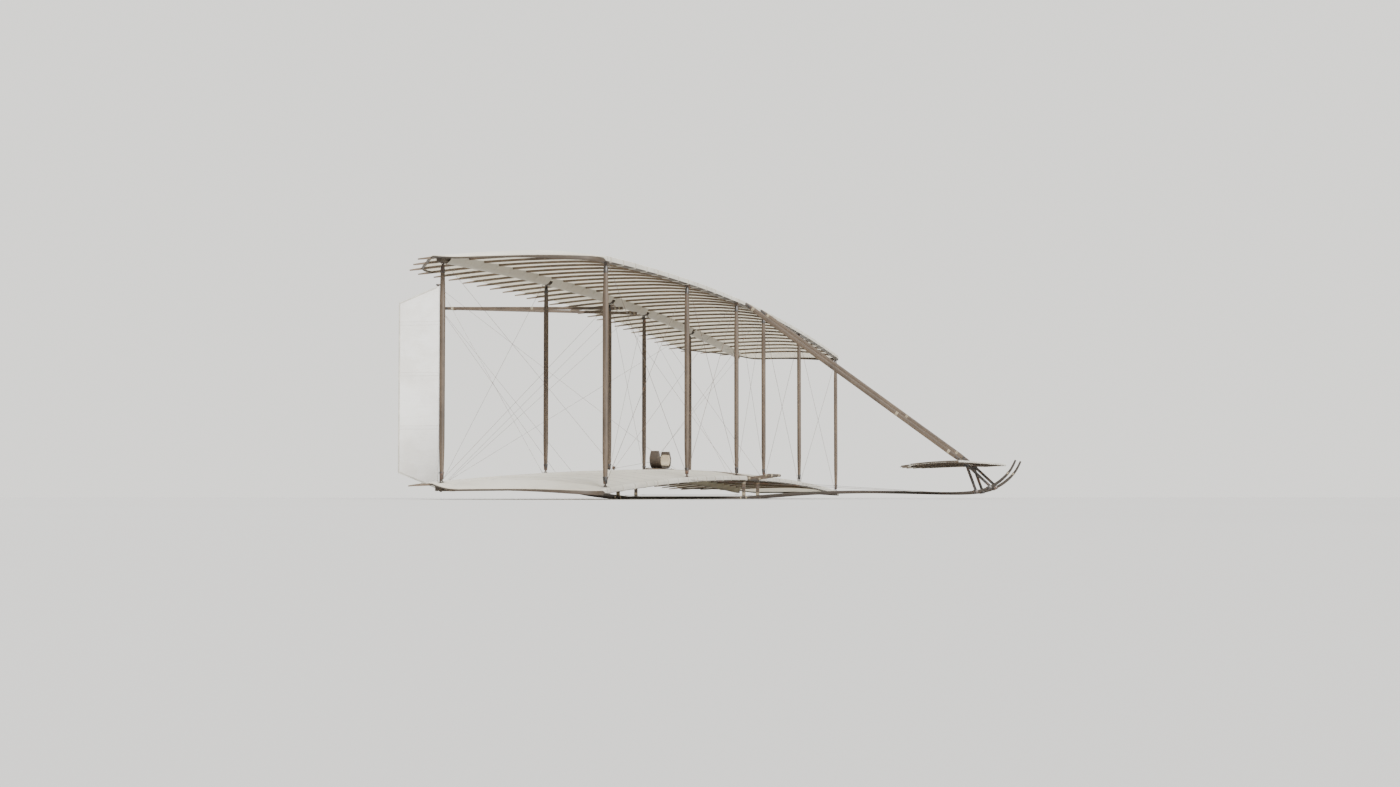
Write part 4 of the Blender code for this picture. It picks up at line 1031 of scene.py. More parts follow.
skid_wood = wood_finish("skid_wood", SHADED_SKID_PALE, SHADED_SKID_DARK, 1.2, 0.55)
skid_cords = new_shape()
skid_irons = new_shape()
skid_line = (smooth([(0, row, height) for row, height in SKID_FRONT], 6)
             + [Vector((0, SKID_REAR[0][0] * step / 8, SKID_LINE)) for step in range(1, 8)]
             + smooth([(0, row, height) for row, height in SKID_REAR], 6))
for side, where in SIDES:
    runner = new_shape()
    path = [flat_on_wing(side * SKID_X, point.y, max(point.z, SKID_LINE)) for point in skid_line]
    thin = [min(1.0, 0.62 + 0.38 * number / 14) for number in range(len(path))]
    sweep(runner, path, ACROSS, cut_square(0.22), SKID_WIDE, [SKID_DEEP * share for share in thin])
    make_piece(f"skid_{where}_runner", runner, skid_wood, replaced=[f"skid_{where}"])
    for spar in (FRONT_SPAR, REAR_SPAR):
        row = spar["row"]
        for off in (-0.022, 0.022):
            lashing(skid_cords, flat_on_wing(side * SKID_X, row + off, SKID_LINE + 0.0008), AFT, ACROSS,
                    SKID_WIDE / 2, SKID_DEEP / 2 - 0.0012, 5, 0.0022)
        foot = flat_on_wing(side * SKID_X, row, SKID_LINE + 0.030)
        head = flat_on_wing(side * SKID_X, row, spar["height"] - spar["deep"] / 2 - 0.018)
        for place, turns in ((foot, 8), (head, 6)):
            lashing(skid_cords, place, UP, ACROSS, 0.012, 0.012, turns)
        for face in (-1, 1):
            for height in (0.060, 0.085):
                bolt(skid_irons, flat_on_wing(side * SKID_X + face * 0.012, row, SKID_LINE + height * 0.9),
                     (face, 0, 0), 0.008)
    for row in STRAP_ROWS:
        nearest = min(range(len(skid_line)), key=lambda number: abs(skid_line[number].y - row))
        spot, way = skid_line[nearest], (skid_line[nearest + 1] - skid_line[nearest - 1]).normalized()
        middle = flat_on_wing(side * SKID_X, spot.y, spot.z)
        middle += way * (row - spot.y) / way.y
        path = [middle + way * reach for reach in (-0.020, -0.018, 0.018, 0.020)]
        sweep(skid_irons, path, ACROSS, cut_square(0.20), [0.0255, 0.0285, 0.0285, 0.0255],
              [0.0240, 0.0290, 0.0290, 0.0240])
        for face in (-1, 1):
            bolt(skid_irons, middle + Vector((face * 0.0142, 0, 0)), (face, 0, 0), 0.008)
    nose = flat_on_wing(side * SKID_X, -2.035, 0.030)
    lashing(skid_cords, nose, (0, 0.44, -0.9), ACROSS, 0.012, 0.0078, 7)
    tail = skid_line[-4]
    way = skid_line[-1] - skid_line[-3]
    lashing(skid_cords, flat_on_wing(side * SKID_X, tail.y, tail.z), way, ACROSS, 0.012, 0.011, 9)
make_piece("skid_lashings", skid_cords, linen_thread)
make_piece("skid_bolts", skid_irons, black_iron)


def dress(node, finish, bevel=0.0015):
    """A construction piece that keeps its shape: its edges are eased and it gets its finish."""
    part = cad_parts[node]
    part.data.materials.clear()
    part.data.materials.append(finish)
    eased = part.modifiers.new("eased", "BEVEL")
    eased.width = bevel
    eased.segments = 2
    eased.limit_method = "ANGLE"
    eased.angle_limit = math.radians(40)
    eased.harden_normals = False


upright_wood = wood_finish("upright_wood", SHADED_SPRUCE_PALE, SHADED_SPRUCE_DARK, 1.0, turn=(0, math.pi / 2, 0))
for where in ("port", "starboard"):
    for place in ("front", "rear"):
        dress(f"skid_post_{place}_{where}", upright_wood)
    dress(f"elevator_bracket_{where}", black_iron, 0.0012)


# The outriggers: two long spruce sticks of rounded section from the elevator's brackets up to the upper
# front spar. Each is bolted to its bracket's arm, strapped to the spar with iron, and served with cord.
HINGE = flat_on_wing(0, HINGE_ROW, HINGE_HEIGHT)
OUTRIGGER_X, OUTRIGGER_WIDE, OUTRIGGER_DEEP = 0.3294, 0.022, 0.036
OUTRIGGER_START = 0.040
ROUNDED = cut_square(0.50)
outrigger_wood = wood_finish("outrigger_wood", SHADED_SPRUCE_PALE, SHADED_SPRUCE_DARK, 0.8)
outrigger_cords = new_shape()
outrigger_irons = new_shape()
spar_middle = flat_on_wing(0, 0, WING_GAP + FRONT_SPAR["height"])
outrigger_way = (spar_middle - HINGE).normalized()
for side, where in SIDES:
    start = HINGE + Vector((side * OUTRIGGER_X, 0, 0)) + outrigger_way * OUTRIGGER_START
    end = start + outrigger_way * ((LEADING_EDGE - 0.0008 - start.y) / outrigger_way.y)
    shares = [step / 40 for step in range(41)]
    drawn = [0.74 + 0.26 * min(1.0, min(share, 1 - share) / 0.05) ** 0.7 for share in shares]
    stick = new_shape()
    sweep(stick, [start.lerp(end, share) for share in shares], ACROSS, ROUNDED,
          [OUTRIGGER_WIDE * (0.86 + 0.14 * part) for part in drawn],
          [OUTRIGGER_DEEP * part for part in drawn])
    make_piece(f"elevator_outrigger_{where}_stick", stick, outrigger_wood,
               replaced=[f"elevator_outrigger_{where}"])
    for reach in (0.125, 0.62, (end - start).length - 0.075):
        lashing(outrigger_cords, start + outrigger_way * reach, outrigger_way, ACROSS,
                OUTRIGGER_WIDE / 2 - 0.001, OUTRIGGER_DEEP / 2 - 0.003, 8)
    for reach in (0.024, 0.052):
        bolt(outrigger_irons, start + outrigger_way * reach + Vector((side * OUTRIGGER_WIDE / 2, 0, 0)),
             (side, 0, 0), 0.009)
    for face in (-1, 1):
        flank = Vector((face * (OUTRIGGER_WIDE / 2 + 0.0012), 0, 0))
        bends = (outrigger_way * -0.058, outrigger_way * -0.004, Vector((0, 0.016, 0.002)),
                 Vector((0, 0.038, -0.001)))
        sweep(outrigger_irons, [end + bend + flank for bend in bends], ACROSS, cut_square(0.4),
              0.0024, 0.016)
        bolt(outrigger_irons, end - outrigger_way * 0.036 + flank, (face, 0, 0), 0.008)
make_piece("outrigger_lashings", outrigger_cords, linen_thread)
make_piece("outrigger_straps", outrigger_irons, black_iron)


# The elevator's frame: a round hinge bar through the brackets' hubs, ribs across it, and thin steamed
# edge strips fore and aft, which meet at the pointed ends. Collars keep it from sliding in the hubs.
ELEVATOR_HALF = 1.370
ELEVATOR_FRONT = ((0.0, -0.278), (0.240, -0.262), (0.490, -0.222), (0.820, -0.150), (ELEVATOR_HALF, -0.040))
ELEVATOR_REAR = ((0.0, 0.455), (0.320, 0.445), (0.610, 0.412), (0.800, 0.372), (0.970, 0.300),
                 (ELEVATOR_HALF, -0.015))
EDGE_WIDE, EDGE_INSET = 0.014, 0.007
ELEVATOR_RIBS = (0.150, 0.450, 0.720, 0.980)
ELEVATOR_TAIL = 0.060
ELEVATOR_RIB = 0.0105
ELEVATOR_CAMBER = 0.12
HINGE_BAR_HALF, HINGE_BAR_RADIUS = 0.450, 0.0088
HUB_X, HUB_LONG = 0.309, 0.018


def on_elevator(span, row, height=0.0):
    """A place in the row frame, from the elevator's hinge line, bent over its curve."""
    return HINGE + Vector((span, row, height - ELEVATOR_CAMBER * row ** 2))


def edge_curve(edge):
    """One edge of the elevator on one side: a smooth curve, and a straight run to the pointed end."""
    half = smooth([(span, row, 0) for span, row in edge[:-1]], 6)
    tip = Vector((*edge[-1], 0))
    return half + [half[-1].lerp(tip, step / 10) for step in range(1, 11)]


fore_curve, aft_curve = edge_curve(ELEVATOR_FRONT), edge_curve(ELEVATOR_REAR)
fore_edge, aft_edge = ([(point.x, point.y) for point in curve] for curve in (fore_curve, aft_curve))
elevator_wood = wood_finish("elevator_wood", SHADED_ASH_PALE, SHADED_ASH_DARK, 1.2)
elevator_frame = new_shape()
elevator_cords = new_shape()
sweep(elevator_frame, [HINGE + Vector((HINGE_BAR_HALF * (step / 10 - 1), 0, 0)) for step in range(21)],
      AFT, circle(16), HINGE_BAR_RADIUS * 2)
for half, inset in ((fore_curve, EDGE_INSET), (aft_curve, -EDGE_INSET)):
    line = [Vector((-point.x, point.y, 0)) for point in reversed(half[1:])] + half
    path = [on_elevator(point.x, point.y + inset, 0.006) for point in line]
    sweep(elevator_frame, path, UP, EASED, ELEVATOR_RIB, EDGE_WIDE)
for side in (-1, 1):
    for span in ELEVATOR_RIBS:
        front = read_along(fore_edge, span) + EDGE_INSET
        rear = read_along(aft_edge, span)
        rows = [front + (rear + ELEVATOR_TAIL - front) * step / 16 for step in range(17)]
        thin = [1 - 0.40 * max(0.0, (row - rear) / ELEVATOR_TAIL) for row in rows]
        sweep(elevator_frame, [on_elevator(side * span, row, 0.006) for row in rows], ACROSS, EASED,
              [ELEVATOR_RIB * share for share in thin])
        for beside in (-0.012, 0.012) if span < HINGE_BAR_HALF else ():
            lashing(elevator_cords, HINGE + Vector((side * (span + beside), 0, 0)), ACROSS, AFT,
                    HINGE_BAR_RADIUS * 0.86, HINGE_BAR_RADIUS * 0.86, 4, 0.002)
    tip_end = on_elevator(side * (ELEVATOR_HALF - 0.040), -0.020, 0.006)
    lashing(elevator_cords, tip_end, ACROSS, AFT, 0.018, 0.0055, 6, 0.0022)
make_piece("elevator_woodwork", elevator_frame, elevator_wood, "elevator", ["elevator_frame"])
make_piece("elevator_lashings", elevator_cords, linen_thread, "elevator")
elevator_irons = new_shape()
for side in (-1, 1):
    for step in (-1, 1):
        collar = HINGE + Vector((side * HUB_X + step * (HUB_LONG / 2 + 0.0065), 0, 0))
        sweep(elevator_irons, [collar - Vector((0.0035, 0, 0)), collar + Vector((0.0035, 0, 0))], AFT,
              circle(16), 0.0250)
        bolt(elevator_irons, collar + Vector((0, 0.0122, 0)), AFT, 0.0045, 0.003)
    sweep(elevator_irons, [HINGE + Vector((side * HINGE_BAR_HALF, 0, 0)),
                           HINGE + Vector((side * (HINGE_BAR_HALF + 0.004), 0, 0))], AFT, circle(16),
          [0.020, 0.014])
make_piece("elevator_collars", elevator_irons, black_iron, "elevator")


# The elevator's cloth: muslin laid over the ribs and sewn round both edge strips, with two hemmed slots
# that let it tilt past the outriggers and their brackets.
SLOT_SPANS, SLOT_ROWS = (0.288, 0.354), (-0.070, 0.130)
SLOT_COLUMNS = (0.185, 0.220, 0.254, *SLOT_SPANS, 0.321, 0.386, 0.418)
ELEVATOR_CLOTH = 0.0010
ON_ELEVATOR = 0.0126
FRONT_ROLL = ((0.0220, -0.0002), (0.0100, -0.0004), (0.0016, -0.0002), (-0.0010, 0.0030), (-0.0013, 0.0070),
              (-0.0008, 0.0105), (0.0016, 0.0124), (0.0080, 0.0127))
REAR_ROLL = ((-0.0080, 0.0127), (-0.0016, 0.0124), (0.0008, 0.0105), (0.0013, 0.0070), (0.0010, 0.0030),
             (-0.0016, -0.0002), (-0.0100, -0.0004), (-0.0220, -0.0002))
ROW_STEPS = (8, 6, 14)
SLOT_HEM = 0.011


def elevator_columns():
    """The cloth's columns across the span: (span, distance from the nearest rib, share of the bay)."""
    ribs = sorted([-span for span in ELEVATOR_RIBS] + list(ELEVATOR_RIBS))
    marks = [-ELEVATOR_HALF] + ribs + [ELEVATOR_HALF]
    made = []
    for low, high in zip(marks, marks[1:]):
        spans = [low + (high - low) * step / 8 for step in range(8)]
        if low in (ELEVATOR_RIBS[0], -ELEVATOR_RIBS[1]):
            spans = sorted([low] + [math.copysign(span, low) for span in SLOT_COLUMNS])
        for span in spans:
            made.append((span, min((span - rib for rib in ribs), key=abs), (span - low) / (high - low)))
    return made + [(ELEVATOR_HALF, ELEVATOR_HALF - ribs[-1], 0.0)]


elevator_muslin = muslin_finish("elevator_muslin", MUSLIN, MUSLIN_SHADE, MUSLIN_THROUGH)
columns = elevator_columns()
grid, holes = [], set()
slot_row = len(FRONT_ROLL) + ROW_STEPS[0] - 1
for number, (span, nearest, share) in enumerate(columns):
    front, rear = read_along(fore_edge, abs(span)), read_along(aft_edge, abs(span))
    small = min(1.0, (rear - front) / 0.09)
    outward = held((abs(span) - ELEVATOR_RIBS[1]) / (ELEVATOR_HALF - ELEVATOR_RIBS[1]))
    fore = SLOT_ROWS[0] * (1 - outward) + (front + (rear - front) * 0.30) * outward
    aft = SLOT_ROWS[1] * (1 - outward) + (front + (rear - front) * 0.60) * outward
    stops = [front + FRONT_ROLL[-1][0] * small, fore, aft, rear + REAR_ROLL[0][0] * small]
    line = [on_elevator(span, front + row * small, height) for row, height in FRONT_ROLL]
    for (low, high), steps in zip(zip(stops, stops[1:]), ROW_STEPS):
        for step in range(1, steps + 1):
            row = low + (high - low) * step / steps
            middle = math.sin(math.pi * (row - front) / (rear - front))
            dip = 0.0038 * math.sin(math.pi * share) * middle
            ripple = 0.0010 * noise.noise(Vector((span * 8 + row * 6, row * 3 - span * 3, 4.2))) * middle
            line.append(on_elevator(span, row, ON_ELEVATOR - dip + ripple * math.sin(math.pi * share)))
    line += [on_elevator(span, rear + row * small, height) for row, height in REAR_ROLL[1:]]
    grid.append(line)
    if SLOT_SPANS[0] - 1e-6 < (span if span > 0 else abs(columns[number + 1][0])) < SLOT_SPANS[1] - 1e-6:
        holes |= {(number, row) for row in range(slot_row, slot_row + ROW_STEPS[1])}
elevator_cloth = grid_piece(
    "elevator_cloth", grid, ELEVATOR_CLOTH, elevator_muslin,
    lambda column, row: (grid[column][row].x, grid[column][row].y),
    lambda column, row: (columns[column][1], grid[column][row].y - HINGE.y), "elevator", ["elevator_cover"],
    holes)
slot_edges = []
for side in (-1, 1):
    corners = [(side * SLOT_SPANS[0], SLOT_ROWS[0]), (side * SLOT_SPANS[1], SLOT_ROWS[0]),
               (side * SLOT_SPANS[1], SLOT_ROWS[1]), (side * SLOT_SPANS[0], SLOT_ROWS[1])]
    for (x, y), (u, v) in zip(corners, corners[1:] + corners[:1]):
        outward = Vector((v - y, x - u, 0)).normalized() * side
        path = [on_elevator(x + (u - x) * step / 6, y + (v - y) * step / 6, ON_ELEVATOR + 0.0011)
                + outward * SLOT_HEM / 2 for step in range(7)]
        ribbon(slot_edges, path, outward, SLOT_HEM)
slot_hems = ribbons_piece("elevator_slot_hems", slot_edges, ELEVATOR_CLOTH, elevator_muslin,
                          "elevator")


# The tail: four square booms that close on an upright post behind, and the rudder hinged on the post by
# iron eyes. Each boom end is lashed with cord and bolted through the post.
POST_ROW, POST_WIDE = 2.611, 0.022
POST_FOOT, POST_HEAD = -0.112, 1.612
RUDDER_ROW = 2.645
RUDDER_FOOT, RUDDER_HEAD = -0.085, 1.585
RUDDER_REAR, RUDDER_TAPER = 2.980, 0.130
EYE_GAP, EYE_THICK = 0.006, 0.012
BOOMS = {"lower": (0.300, 1.500, -0.085, -0.095),
         "upper": (0.250, 1.015, WING_GAP - 0.0168, WING_GAP + 0.030)}
boom_wood = wood_finish("boom_wood", SHADED_SPRUCE_PALE, SHADED_SPRUCE_DARK, 0.8, turn=(0, 0, -math.pi / 2))
tail_cords = new_shape()
tail_irons = new_shape()
for level, (span, row, height, end_height) in BOOMS.items():
    for side, where in SIDES:
        dress(f"tail_boom_{level}_{where}", boom_wood, 0.0035)
        start = flat_on_wing(side * span, row, height)
        end = flat_on_wing(side * 0.0114, POST_ROW - 0.033, end_height)
        way = (end - start).normalized()
        length = (end - start).length
        for reach in (0.022, 0.055, length * 0.5, length - 0.070):
            lashing(tail_cords, start + way * reach, way, UP, 0.0110, 0.0110, 6 if reach < 0.1 else 9)
        bolt(tail_irons, end + Vector((side * 0.0135, -0.006, 0)) - way * 0.012, (side, 0, 0), 0.009)
post = new_shape()
heights = [POST_FOOT + (POST_HEAD - POST_FOOT) * step / 30 for step in range(31)]
ends = [1 - 0.30 * max(0.0, 1 - min(step, 30 - step)) for step in range(31)]
sweep(post, [flat_on_wing(0, POST_ROW, height) for height in heights], ACROSS, cut_square(0.30),
      [POST_WIDE * share for share in ends])
post_wood = wood_finish("post_wood", SHADED_SPRUCE_PALE, SHADED_SPRUCE_DARK, 0.9)
make_piece("rudder_post_stick", post, post_wood, replaced=["rudder_post"])
for height in (RUDDER_FOOT - EYE_GAP - EYE_THICK / 2, RUDDER_HEAD + EYE_GAP + EYE_THICK / 2):
    eye = flat_on_wing(0, RUDDER_ROW, height)
    circle_path = [eye + Vector((math.cos(turn), math.sin(turn), 0)) * 0.0118
                   for turn in (2 * math.pi * step / 20 for step in range(20))]
    sweep(tail_irons, circle_path, UP, cut_square(0.25), EYE_THICK, 0.0104, closed=True)
    shank = [flat_on_wing(0, POST_ROW + POST_WIDE / 2 - 0.004, height),
             flat_on_wing(0, RUDDER_ROW - 0.010, height)]
    sweep(tail_irons, shank, ACROSS, cut_square(0.25), 0.014, 0.009)
    band = [flat_on_wing(0, POST_ROW, height + reach) for reach in (-0.008, 0.008)]
    sweep(tail_irons, band, ACROSS, cut_square(0.16), 0.0262)
    inside = flat_on_wing(0, POST_ROW, height + (0.045 if height < 0 else -0.045))
    lashing(tail_cords, inside, UP, ACROSS, 0.0110, 0.0110, 9)
make_piece("tail_lashings", tail_cords, linen_thread)
make_piece("tail_irons", tail_irons, black_iron)


# The rudder: a light frame on a round rod, covered on both sides with muslin that is drawn tight, sewn
# round the rod, and bound along its edges with a folded strip. Its cloth is whiter than the wings', as
# painted light.
SKIN_OFF = 0.0101
SKIN_THICK = 0.0010
# Painted light: the rudder's cloth is whiter than the wings' muslin, standing in for the sun that falls on
# its side.
LIT_RUDDER_WHITE, LIT_RUDDER_SHADE = (0.95, 0.94, 0.91, 1), (0.90, 0.885, 0.84, 1)
RUDDER_THROUGH, BINDING_COLOUR = (0.88, 0.84, 0.74, 1), (0.80, 0.77, 0.68, 1)
RUDDER_CHORD_STEPS, RUDDER_TALL_STEPS = 14, 56
BATTENS = (0.42, 0.86, 1.28)
lit_rudder_muslin = muslin_finish("lit_rudder_muslin", LIT_RUDDER_WHITE, LIT_RUDDER_SHADE, RUDDER_THROUGH, 0.14)
rudder_wood = wood_finish("rudder_wood", SHADED_SPRUCE_PALE, SHADED_SPRUCE_DARK, 1.0, turn=(0, math.pi / 2, 0))
dress("rudder_frame", rudder_wood, 0.002)
rudder_front, rudder_rear = RUDDER_ROW - 0.0095, RUDDER_REAR
for side, where in SIDES:
    skin, reading = [], []
    for chord in range(RUDDER_CHORD_STEPS + 1):
        across = chord / RUDDER_CHORD_STEPS
        across = across - math.sin(2 * math.pi * across) * 0.06
        row = rudder_front + (rudder_rear - rudder_front) * across
        foot = RUDDER_FOOT + 0.001 + RUDDER_TAPER * across
        head = RUDDER_HEAD - 0.001 - RUDDER_TAPER * across
        line, notes = [], []
        for step in range(RUDDER_TALL_STEPS + 1):
            share = step / RUDDER_TALL_STEPS
            share = share - math.sin(2 * math.pi * share) * 0.03
            height = foot + (head - foot) * share
            nearest = min((height - batten for batten in BATTENS), key=abs)
            free = math.sin(math.pi * across) * math.sin(math.pi * share)
            sunk = 0.0042 * (1 - math.exp(-(nearest / 0.05) ** 2))
            wave = 0.0008 * noise.noise(Vector((row * 5, height * 4, side * 3.0)))
            off = SKIN_OFF + (wave - sunk) * free
            line.append(flat_on_wing(side * off, row, height))
            notes.append((nearest, row))
        skin.append(line)
        reading.append(notes)
    sheet = grid_piece(f"rudder_cloth_{where}", skin, SKIN_THICK, lit_rudder_muslin,
                       lambda column, row, skin=skin: (skin[column][row].y, skin[column][row].z),
                       lambda column, row, reading=reading: reading[column][row], "rudder",
                       [f"rudder_cover_{where}"])
BINDING_WIDE, BINDING_DEEP = 0.0226, 0.014
BINDING_OUTLINE = [(1, -1), (1, 0.55), (0.93, 0.85), (0.75, 1), (-0.75, 1), (-0.93, 0.85), (-1, 0.55),
                   (-1, -1)]
binding = new_shape()
inset = BINDING_DEEP / 2 - 0.001
slope = RUDDER_TAPER / (RUDDER_REAR - RUDDER_ROW - 0.008)
rise = inset * math.hypot(1, slope)
along_edge = [RUDDER_ROW + 0.004 + (RUDDER_REAR - RUDDER_ROW - 0.007) * step / 8 for step in range(9)]
for edge, way in ((RUDDER_FOOT, 1), (RUDDER_HEAD, -1)):
    path = [flat_on_wing(0, row, edge + way * (slope * (row - RUDDER_ROW) + rise))
            for row in along_edge[::way]]
    sweep(binding, path, ACROSS, BINDING_OUTLINE, BINDING_WIDE, BINDING_DEEP)
low_end, high_end = RUDDER_FOOT + RUDDER_TAPER - 0.0004, RUDDER_HEAD - RUDDER_TAPER + 0.0004
path = [flat_on_wing(0, RUDDER_REAR - inset, low_end + (high_end - low_end) * step / 24)
        for step in range(25)]
sweep(binding, path, ACROSS, BINDING_OUTLINE, BINDING_WIDE + 0.0008, BINDING_DEEP)
rod_sleeve = []
sleeve_turns = [math.pi * (step / 10 - 0.5) * 1.12 for step in range(11)]
sleeve_foot, sleeve_head = RUDDER_FOOT + 0.0025, RUDDER_HEAD - 0.0025
for step in range(41):
    middle = flat_on_wing(0, RUDDER_ROW, sleeve_foot + (sleeve_head - sleeve_foot) * step / 40)
    rod_sleeve.append([middle + Vector((math.sin(turn), -math.cos(turn), 0)) * 0.0103
                       for turn in sleeve_turns])
binding_tape = cord_finish("binding_tape", BINDING_COLOUR)
make_piece("rudder_binding", binding, binding_tape, "rudder", sharp=60)
sleeve = ribbons_piece("rudder_rod_sleeve", [rod_sleeve], 0.0008, lit_rudder_muslin, "rudder")
pins = new_shape()
for height, way in ((RUDDER_FOOT, -1), (RUDDER_HEAD, 1)):
    sweep(pins, [flat_on_wing(0, RUDDER_ROW, height), flat_on_wing(0, RUDDER_ROW, height + way * 0.0195)],
          ACROSS, circle(16), 0.0124)
make_piece("rudder_pins", pins, black_iron, "rudder")


# The cradle and bars: a board across the gap between the wing's halves, a steamed yoke that slides on it,
# padded with canvas, a hand bar ahead of the front spar and a foot bar behind.
BOARD_ROW, BOARD_THICK, BOARD_WIDE = 0.760, 0.016, 0.100
YOKE_THICK, YOKE_WIDE = 0.016, 0.090
YOKE = ((0.190, 0.138), (0.190, 0.068), (0.170, 0.030), (0.125, YOKE_THICK / 2))
HAND_BAR_HALF, HAND_BAR_ROW, HAND_BAR_HEIGHT = 0.260, -0.170, 0.020
FOOT_BAR_ROW, GRIP_RADIUS = 1.270, 0.011
HAND_BRACE_X, BOARD_BOLT_X, YOKE_BOLT_X = 0.220, 0.268, 0.085
DUCK_PALE, DUCK_DARK = (0.50, 0.43, 0.31, 1), (0.30, 0.24, 0.16, 1)
YOKE_BASE = camber(BOARD_ROW - BOARD_WIDE / 2) + 0.0036 + BOARD_THICK
across_wood = wood_finish("across_wood", SHADED_SPRUCE_PALE, SHADED_SPRUCE_DARK, 0.9, turn=(0, 0, 0))
for node in ("cradle_board", "hand_bar", "foot_bar"):
    dress(node, across_wood, 0.0025)
yoke_line = smooth([(span, 0, height) for span, height in YOKE], 5)
yoke_line += [Vector((0.125 * (1 - step / 5), 0, YOKE_THICK / 2)) for step in range(1, 6)]
yoke_path = [flat_on_wing(-point.x, BOARD_ROW, YOKE_BASE + point.z) for point in yoke_line]
yoke_path += [flat_on_wing(point.x, BOARD_ROW, YOKE_BASE + point.z) for point in reversed(yoke_line[:-1])]
yoke = new_shape()
count = len(yoke_path)
sweep(yoke, yoke_path, AFT, cut_square(0.34),
      [YOKE_WIDE * (0.72 + 0.28 * min(1.0, min(step, count - 1 - step) / 4)) for step in range(count)],
      [YOKE_THICK * (0.70 + 0.30 * min(1.0, min(step, count - 1 - step) / 3)) for step in range(count)])
yoke_wood = wood_finish("yoke_wood", SHADED_ASH_PALE, SHADED_ASH_DARK, 1.1, 0.5)
make_piece("hip_cradle_yoke", yoke, yoke_wood, replaced=["hip_cradle"])
pad = new_shape()
middle = flat_on_wing(0, BOARD_ROW, YOKE_BASE + 0.10)
pad_path, pad_wide, pad_deep = [], [], []
for step in range(2, count - 2):
    here, before, after = yoke_path[step], yoke_path[step - 1], yoke_path[step + 1]
    along = (after - before).normalized()
    inward = Vector(AFT).cross(along)
    if inward.dot(middle - here) < 0:
        inward = -inward
    share = min(step - 2, count - 3 - step) / 3
    plump = min(1.0, 0.45 + 0.55 * share)
    tuft = 1 - 0.22 * (1 if (step % 4) == 0 else 0)
    pad_path.append(here + inward * (YOKE_THICK / 2 + 0.0085 * plump))
    pad_wide.append((YOKE_WIDE - 0.008) * (0.84 + 0.16 * min(1.0, share)))
    pad_deep.append(0.019 * plump * tuft)
pad_outline = [(math.copysign(abs(across) ** 0.5, across), math.copysign(abs(rise) ** 0.8, rise))
               for across, rise in circle(20)]
sweep(pad, pad_path, AFT, pad_outline, pad_wide, pad_deep)


def canvas_finish(name, pale, dark):
    """Close cotton duck with soiled folds, its weave as a bump and as painted shade in the weave's hollows.
    """
    finish, tree, shader = new_material(name)
    place = grain_place(tree)
    weave = use_group(tree, weave_group, {"Place": place, "Threads": 620.0})
    soiled = use_group(tree, wear_group, {"Place": object_place(tree), "Size": 14.0,
                                          "Cover": 0.50})["Mask"]
    # Painted shade: the weave's low points are coloured darker.
    tone = mix_colour(tree, ramp(tree, weave["Height"], -0.8, 0.8), dark, pale)
    tone = mix_colour(tree, maths(tree, "MULTIPLY", soiled, 0.5), tone, dark)
    tree.links.new(tone, shader.inputs["Base Color"])
    shader.inputs["Roughness"].default_value = 0.92
    height = maths(tree, "ADD", weave["Height"], maths(tree, "MULTIPLY", soiled, 1.5))
    emboss(tree, shader, height, 0.5, 0.0005)
    return finish


duck = canvas_finish("cradle_duck", DUCK_PALE, DUCK_DARK)
cradle_pad = make_piece("hip_cradle_pad", pad, duck, sharp=60)
smoothed = cradle_pad.modifiers.new("plump", "SUBSURF")
smoothed.levels = 1
smoothed.render_levels = 1
grips = new_shape()
for side in (-1, 1):
    lashing(grips, flat_on_wing(side * HAND_BAR_HALF * 0.62, HAND_BAR_ROW, HAND_BAR_HEIGHT), ACROSS,
            AFT, GRIP_RADIUS * 0.88, GRIP_RADIUS * 0.88, 22, 0.0026)
    brace_rear = flat_on_wing(side * HAND_BRACE_X, -0.012, FRONT_SPAR["height"] + 0.002)
    lashing(grips, brace_rear, (0, 1, 0.02), ACROSS, 0.0088, 0.0088, 6)
    brace_front = flat_on_wing(side * HAND_BRACE_X, HAND_BAR_ROW + 0.022, HAND_BAR_HEIGHT - 0.003)
    lashing(grips, brace_front, (0, 1, -0.15), ACROSS, 0.0088, 0.0088, 6)
    foot_grip = flat_on_wing(side * (INNER_RIB - 0.024), FOOT_BAR_ROW, camber(FOOT_BAR_ROW) + 0.0145)
    lashing(grips, foot_grip, ACROSS, AFT, GRIP_RADIUS * 0.88, GRIP_RADIUS * 0.88, 8)
make_piece("grip_cords", grips, linen_thread)
board_irons = new_shape()
for side in (-1, 1):
    for step in (-1, 1):
        on_board = flat_on_wing(side * BOARD_BOLT_X, BOARD_ROW + step * 0.030, YOKE_BASE - 0.0004)
        on_yoke = flat_on_wing(side * YOKE_BOLT_X, BOARD_ROW + step * 0.026,
                               YOKE_BASE + YOKE_THICK + 0.0165)
        bolt(board_irons, on_board, UP, 0.010)
        bolt(board_irons, on_yoke, UP, 0.006, 0.003)
make_piece("board_bolts", board_irons, black_iron)


# The rigging: hard steel wire. Crossed wires brace the front bays, the middle of the rear and the inner
# struts fore and aft. Others hold the skids and the tail, and two cables from the cradle twist the wings.
STAY_GAUGE = 0.0028
LIGHT_GAUGE = 0.0022
WIRE_DARK, WIRE_BRIGHT = (0.16, 0.155, 0.15, 1), (0.27, 0.265, 0.255, 1)
WIRE_RUST = (0.13, 0.070, 0.040, 1)


